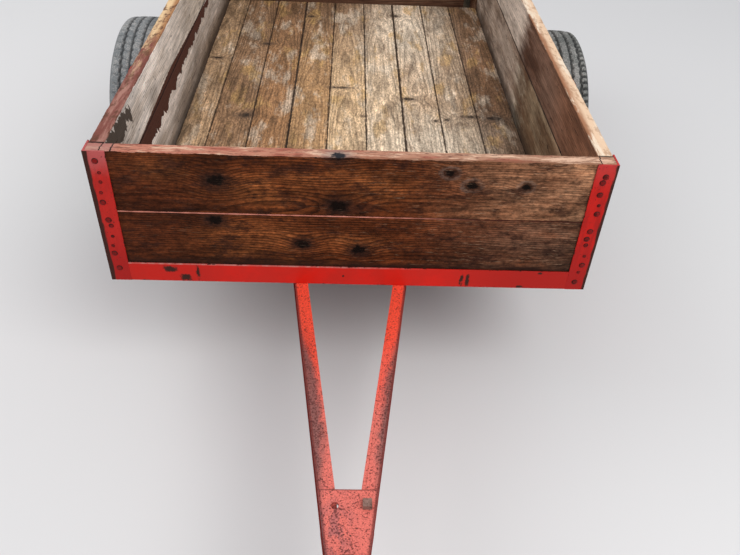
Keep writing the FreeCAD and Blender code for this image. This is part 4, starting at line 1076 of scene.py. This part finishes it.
def painted_steel(name, post):
    """Brushed-on red over angle steel, of the posts or the rails, with rust at edges and chips, and painted
    shade along the front posts' outer corners.
    """
    def paint(w, place):
        x, back, z = axes_of(w, place)
        slow = w.noise(place, 7.0, detail=5.0, rough=0.65)
        streaks = w.pattern(place, (70.0, 70.0, 12.0), detail=5.0, rough=0.65)
        if post:
            left = w.ramp(x, 0.1, -0.1)
            tone = post_red(w, z, slow, streaks, left)
            # on the posts, painted shade along the outer corner
            marks = post_corner_shade(w, x, back, streaks, left)
        else:
            tone = rail_red(w, x, back, z, slow, streaks)
            marks = rail_marks(w, place, x, z)
        edge = use(w, FLAKES, Place=place, Stretch=(50.0, 50.0, 50.0), Raggedness=1.0,
                   Level=w.math("MULTIPLY_ADD", w.attribute("edge"), 0.62, -0.20))["Mask"]
        specks = use(w, SPOTS, Place=place, Scale=210.0, Amount=0.44 if post else 0.24)["Mask"]
        # rust at the edges, chips and specks; on the posts also the painted shade at the outer corner
        worn = w.math("MAXIMUM", w.math("MAXIMUM", w.math("MULTIPLY", edge, 0.9), marks),
                      w.math("MULTIPLY", specks, 0.8))
        tone = w.mix(worn, tone, RUST_AND_SHADE)
        return {"Base Color": tone, "Roughness": w.math("MULTIPLY_ADD", worn, 0.35, 0.42),
                "Specular IOR Level": 0.14, "Height": (w.math("MULTIPLY_ADD", worn, -0.7, slow), 0.4 * MM)}
    return surface(name, paint)


def bolt_paint():
    """Bolt heads brushed over with the posts' red, dark where they meet the steel."""
    def paint(w, place):
        slow = w.noise(place, 90.0, detail=4.0, rough=0.65)
        tone = w.mix(w.ramp(slow, 0.42, 0.60), (0.19, 0.006, 0.005, 1), (0.075, 0.005, 0.004, 1))
        tone = w.mix(w.ramp(w.attribute("edge"), 0.1, 0.6), tone, (0.018, 0.007, 0.006, 1))
        return {"Base Color": tone, "Roughness": w.math("MULTIPLY_ADD", slow, 0.4, 0.35),
                "Specular IOR Level": 0.12, "Height": (slow, 0.4 * MM)}
    return surface("bolt_paint", paint)


def tongue_paint():
    """Sun-bleached red: pinker towards the nose, thickly speckled, worn purple-grey outside."""
    def paint(w, place):
        x, back, z = axes_of(w, place)
        ahead = w.math("MULTIPLY", back, -1.0)
        slow = w.noise(place, 9.0, detail=5.0, rough=0.65)
        fresh = w.mix(w.ramp(w.math("MULTIPLY_ADD", slow, 0.25, ahead), 0.30, 0.68),
                      (0.90, 0.078, 0.038, 1), (0.70, 0.155, 0.118, 1))
        # painted shade on the left bar's outer side
        left_side_shade = w.math("MULTIPLY", patch(w, x, ahead, (-0.155, 0.27), (0.06, 0.075)), 0.85)
        tone = w.mix(left_side_shade, fresh, (0.30, 0.030, 0.018, 1))
        # distance in from the bars' outer edges, which close in towards the nose
        at_box, closing = 0.15408, 0.13645
        outer = w.math("MULTIPLY_ADD", ahead, -closing, at_box)
        inward = w.math("SUBTRACT", outer, w.math("ABSOLUTE", x))
        ragged = w.pattern(place, (60.0, 26.0, 60.0), detail=6.0, rough=0.72)
        band = w.math("MULTIPLY", w.ramp(ahead, 0.18, 0.36), w.ramp(ahead, 0.72, 0.50))
        reach = w.math("MULTIPLY", band, w.stirred(w.span(x, -0.02, 0.02, 0.027, 0.017), ragged, 0.05))
        worn = w.math("MULTIPLY", w.ramp(w.math("SUBTRACT", reach, inward), -0.012, 0.012), 0.85)
        tone = w.mix(worn, tone, (0.165, 0.080, 0.072, 1))
        # painted shade along the bars' outer edges, where their sides turn down
        tone = w.over(tone, (0.16, 0.020, 0.015, 1), w.ramp(inward, 0.006, 0.002), 0.75)
        # painted shadow on the bars just behind the cover plate's rear edge
        tone = w.over(tone, (0.14, 0.030, 0.025, 1), w.line(ahead, PLATE_REAR, 0.0045, 0.0020), 0.7)
        plate = w.math("MULTIPLY", patch(w, x, ahead, (-0.025, 0.78), (0.035, 0.12)),
                       w.ramp(ragged, 0.42, 0.60))
        tone = w.over(tone, (0.22, 0.10, 0.11, 1), plate, 0.55)
        # more specks where the paint is worn and where the painted shade lies
        worn_and_shaded = w.math("MAXIMUM", worn, w.math("MAXIMUM", left_side_shade, plate))
        gritty = w.span(w.noise(place, 300.0, detail=3.0, rough=0.7), 0.33, 0.67, 0.74, 1.20)
        tone = w.shaded(tone, gritty)
        specks = use(w, SPOTS, Place=place, Scale=260.0,
                     Amount=w.math("MULTIPLY_ADD", worn_and_shaded, 0.20, 0.66))["Mask"]
        tone = w.over(tone, (0.085, 0.016, 0.014, 1), specks, 0.80)
        chips = use(w, SPOTS, Place=place, Scale=120.0, Amount=0.40)["Mask"]
        tone = w.mix(chips, tone, (0.055, 0.020, 0.016, 1))
        tone = w.over(tone, (0.26, 0.022, 0.014, 1), w.ramp(z, -0.027, -0.045), 0.6)
        height = w.math("MULTIPLY_ADD", w.math("MAXIMUM", specks, chips), -0.6, slow)
        return {"Base Color": tone, "Roughness": 0.6, "Specular IOR Level": 0.25,
                "Height": (height, 0.4 * MM)}
    return surface("tongue_paint", paint)


def rusty_steel(name, first, second, third=(0.02, 0.012, 0.008, 1)):
    """Bare steel gone brown: rust tones in patches over fine pitting."""
    def paint(w, place):
        slow = w.noise(place, 16.0, detail=7.0, rough=0.7)
        fine = w.noise(place, 220.0, detail=3.0, rough=0.6)
        tone = w.mix(w.ramp(slow, 0.40, 0.60), first, second)
        tone = w.over(tone, third, w.ramp(fine, 0.52, 0.66), 0.65)
        return {"Base Color": tone, "Roughness": w.math("MULTIPLY_ADD", slow, 0.4, 0.5),
                "Metallic": w.span(slow, 0.40, 0.65, 0.55, 0.0), "Specular IOR Level": 0.3,
                "Height": (w.math("ADD", slow, fine), 0.5 * MM)}
    return surface(name, paint)


def tyre_rubber(name, bloom, dust_share):
    """Old rubber: a dull bloom, pale dust on the ribs, painted shade in the grooves and painted shadow
    lines beside the two moulded lines on the wall.
    """
    def paint(w, place):
        cut = w.attribute("edge")
        cloud = w.noise(place, 9.0, detail=7.0, rough=0.7)
        fine = w.noise(place, 240.0, detail=4.0, rough=0.65)
        tone = w.mix(w.ramp(cloud, 0.36, 0.66), tuple(0.80 * part for part in bloom[:3]) + (1,), bloom)
        both = w.math("MULTIPLY_ADD", cloud, 0.35, w.math("MULTIPLY", fine, 0.65))
        radius = w.vector("LENGTH", w.vector("MULTIPLY", w.vector(
            "SUBTRACT", place, (0.0, AXLE_Y, AXLE_Z)), (0.0, 1.0, 1.0)))
        crown = w.span(radius, 0.318, 0.336, 0.30, 1.0)
        wall = w.mix(w.ramp(cloud, 0.40, 0.60), (0.052, 0.054, 0.056, 1), (0.092, 0.092, 0.090, 1))
        tone = w.mix(w.ramp(radius, 0.330, 0.312), tone, wall)
        # painted shadow beside the two moulded lines
        for middle in (0.3085, 0.2290):
            tone = w.over(tone, (0.020, 0.021, 0.022, 1), w.line(radius, middle, 0.0022, 0.0010), 0.7)
        dust = w.math("MULTIPLY", w.math("MULTIPLY", w.ramp(both, 0.46, 0.62), dust_share), crown)
        tone = w.mix(dust, tone, (0.44, 0.41, 0.38, 1))
        # painted shade in the grooves and cuts
        tone = w.over(tone, (0.016, 0.017, 0.018, 1), cut, 0.85)
        return {"Base Color": tone, "Roughness": 0.88, "Specular IOR Level": 0.25,
                "Height": (w.math("MULTIPLY_ADD", fine, 0.7, cloud), 0.5 * MM)}
    return surface(name, paint)


def rim_paint():
    """Old white wheel enamel, chalky, with rust bleeding through."""
    def paint(w, place):
        slow = w.noise(place, 12.0, detail=6.0, rough=0.68)
        tone = w.mix(w.ramp(slow, 0.40, 0.65), (0.58, 0.56, 0.50, 1), (0.38, 0.35, 0.30, 1))
        rusty = use(w, SPOTS, Place=place, Scale=34.0, Amount=0.42)["Mask"]
        tone = w.over(tone, (0.15, 0.055, 0.025, 1), rusty, 0.85)
        return {"Base Color": tone, "Roughness": w.math("MULTIPLY_ADD", rusty, 0.3, 0.5),
                "Height": (slow, 0.4 * MM)}
    return surface("rim_paint", paint)


# The pieces

def dress(names, material, bevel=0.8 * MM):
    """CAD nodes kept as they are, with a material and lightly rounded edges."""
    for name in names:
        node = nodes[name]
        node.data.materials.clear()
        node.data.materials.append(material)
        weld = node.modifiers.new("weld", "WELD")
        weld.merge_threshold = 0.01 * MM
        soften = node.modifiers.new("soft_edges", "BEVEL")
        soften.width, soften.segments, soften.limit_method = bevel, 2, "ANGLE"
        soften.angle_limit = math.radians(30)


def wooden_walls():
    """Front, side and gate boards in place of their nodes."""
    # columns: node, axis that the board runs along, material, seed of its wear, body
    rows = [("front_board_lower", 0, front_wood(False), 3, "chassis"),
            ("front_board_upper", 0, front_wood(True), 7, "chassis"),
            ("left_board_lower", 1, side_wood("left", False), 11, "chassis"),
            ("left_board_upper", 1, side_wood("left", True), 17, "chassis"),
            ("right_board_lower", 1, side_wood("right", False), 23, "chassis"),
            ("right_board_upper", 1, side_wood("right", True), 29, "chassis")]
    behind = gate_wood()
    rows += [("gate_board_lower", 0, behind, 31, "gate"), ("gate_board_upper", 0, behind, 37, "gate")]
    for name, axis, material, seed, body in rows:
        low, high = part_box(name)
        shell = Shell()
        board(shell, low, high, axis, seed)
        shell.piece(name + "_plank", body, "wall_wood", material, (name,))


def floor():
    """Nine planks from the right wall to the left, with dark strips below the seams between them: painted
    shade where the ground under the floor would show.
    """
    low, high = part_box("floor_planks")
    shell = Shell()
    edges = [max(INSIDE - number * PLANK, -INSIDE) for number in range(10)]
    # half of a seam, how much wider the halves of two of them are, and the planks that are worn most
    half_seam, wider, most_worn = 0.75 * MM, {3: 1.6 * MM, 6: 1.4 * MM}, (2, 3, 5, 6)
    for number in range(9):
        right = edges[number] - half_seam - wider.get(number, 0)
        left = edges[number + 1] + half_seam + wider.get(number + 1, 0)
        worn = 1.2 * MM if number in most_worn else 0.5 * MM
        board(shell, (left, low.y, low.z), (right, high.y, high.z), 1, 50 + 3 * number, wear=worn,
              radius=1.0 * MM, spacing=11 * MM, cells=14)
    shell.piece("floor_boards", "chassis", "floor_wood", floor_wood(), ("floor_planks",))
    # dark strips in the seams: painted shade for the dark under the floor
    seam_strips = Shell()
    for number, edge in enumerate(edges[1:-1]):
        board(seam_strips, (edge - 3 * MM, low.y + 1 * MM, low.z + 0.6 * MM),
              (edge + 3 * MM, high.y - 1 * MM, high.z - 3.5 * MM), 1, 90 + number, radius=1 * MM, cells=2)
    seam_strips.piece("seam_shade_strips", "chassis", "floor_wood",
                 rusty_steel("seam_shade", (0.042, 0.024, 0.015, 1), (0.085, 0.055, 0.036, 1)))


def angles():
    """Corner posts, base rails and guides as rolled angles; gives the rails' red for other pieces."""
    red, dull_red = painted_steel("rail_red", False), painted_steel("post_red", True)
    # columns: node, axis, the end of the box on each of the other two axes where the legs meet
    rows = [("post_front_left", 2, (-1, -1)), ("post_front_right", 2, (1, -1)),
            ("post_rear_left", 2, (-1, 1)), ("post_rear_right", 2, (1, 1)),
            ("rail_left", 1, (-1, -1)), ("rail_right", 1, (1, -1)),
            ("rail_front", 0, (-1, -1)), ("rail_rear", 0, (1, -1))]
    for name, axis, heel in rows:
        angle_iron(name, axis, heel, dull_red if axis == 2 else red, "red_paint")
    brown = rusty_steel("brown_angle", (0.11, 0.045, 0.022, 1), (0.24, 0.13, 0.075, 1))
    angle_iron("guide_left", 2, (-1, 1), brown, "rusty_steel")
    angle_iron("guide_right", 2, (1, 1), brown, "rusty_steel")
    return red


def post_studs(material):
    """Bolt and nail heads down the front and rear posts and the side stakes."""
    # by side, each front post's heads: height over the floor in millimetres, size
    rows = {-1: [(350, 5), (317, 3), (290, 3), (259, 3), (230, 5), (176, 5), (158, 4), (124, 3),
                 (93, 3), (68, 5), (18, 5)],
            1: [(343, 5), (326, 5), (290, 5), (258, 3), (232, 5), (176, 5), (151, 5), (131, 4),
                (94, 3), (63, 5), (38, 3), (3, 5)]}
    shell = Shell()
    for side, heads in rows.items():
        for number, (height, size) in enumerate(heads):
            x = side * (625 + 4 * math.sin(5 * number)) * MM
            radius = 1.65 * size * MM
            stud(shell, (x, FRONT_Y - SKIN, DECK + height * MM), 1, -1, radius, 0.42 * radius)
    stake_face, stake_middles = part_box("stakes_right")[1].x, (0.480, 1.640)
    for side in (-1, 1):
        for height in (60, 150, 235, 330):
            stud(shell, (side * 615 * MM, cad_high.y, DECK + height * MM), 1, 1, 5 * MM, 2 * MM)
        for back in stake_middles:
            for height in (90, 180, 252, 338):
                place = (side * stake_face, FRONT_Y + back, DECK + height * MM)
                stud(shell, place, 0, side, 7 * MM, 3 * MM)
    shell.piece("post_bolts", "chassis", "rusty_steel", material)


wooden_walls()
floor()
red = angles()
tongue = tongue_paint()
dark = rusty_steel("dark_iron", (0.035, 0.026, 0.022, 1), (0.085, 0.060, 0.045, 1))
grey = rusty_steel("grey_strap", (0.075, 0.070, 0.055, 1), (0.12, 0.095, 0.065, 1))
post_studs(bolt_paint())
dress(["tongue_bar_left", "tongue_bar_right", "tongue_plate", "tongue_under_plate", "tongue_tube",
       "prop_bracket", "prop_tube", "prop_foot"], tongue)
dress(["cross_members", "stakes_left", "stakes_right"], red)
dress(["gate_straps"], grey)
dress(["tongue_bolt"], rusty_steel("rusty_bolt", (0.17, 0.085, 0.065, 1), (0.27, 0.155, 0.125, 1)), 1 * MM)
dress(["coupler_body"], tongue)
dress(["coupler_latch", "prop_pin", "axle", "spring_left", "spring_right",
       "spring_hangers", "axle_clamps"], dark, 0.5 * MM)
enamel = rim_paint()
# columns: side, word, the rubber's bloom, its share of dust, shoulder lugs
wheels = [(-1, "left", (0.20, 0.215, 0.220, 1), 0.85, False),
          (1, "right", (0.14, 0.145, 0.135, 1), 0.7, True)]
for side, word, bloom, dust_share, lugs in wheels:
    tyre(side, word, tyre_rubber(f"tyre_{word}_rubber", bloom, dust_share), lugs)
    rim(side, word, enamel)
    hub(side, word, dark)
plain_floor()
studio_light()
photo_camera()
bpy.context.scene.view_settings.view_transform = "Standard"
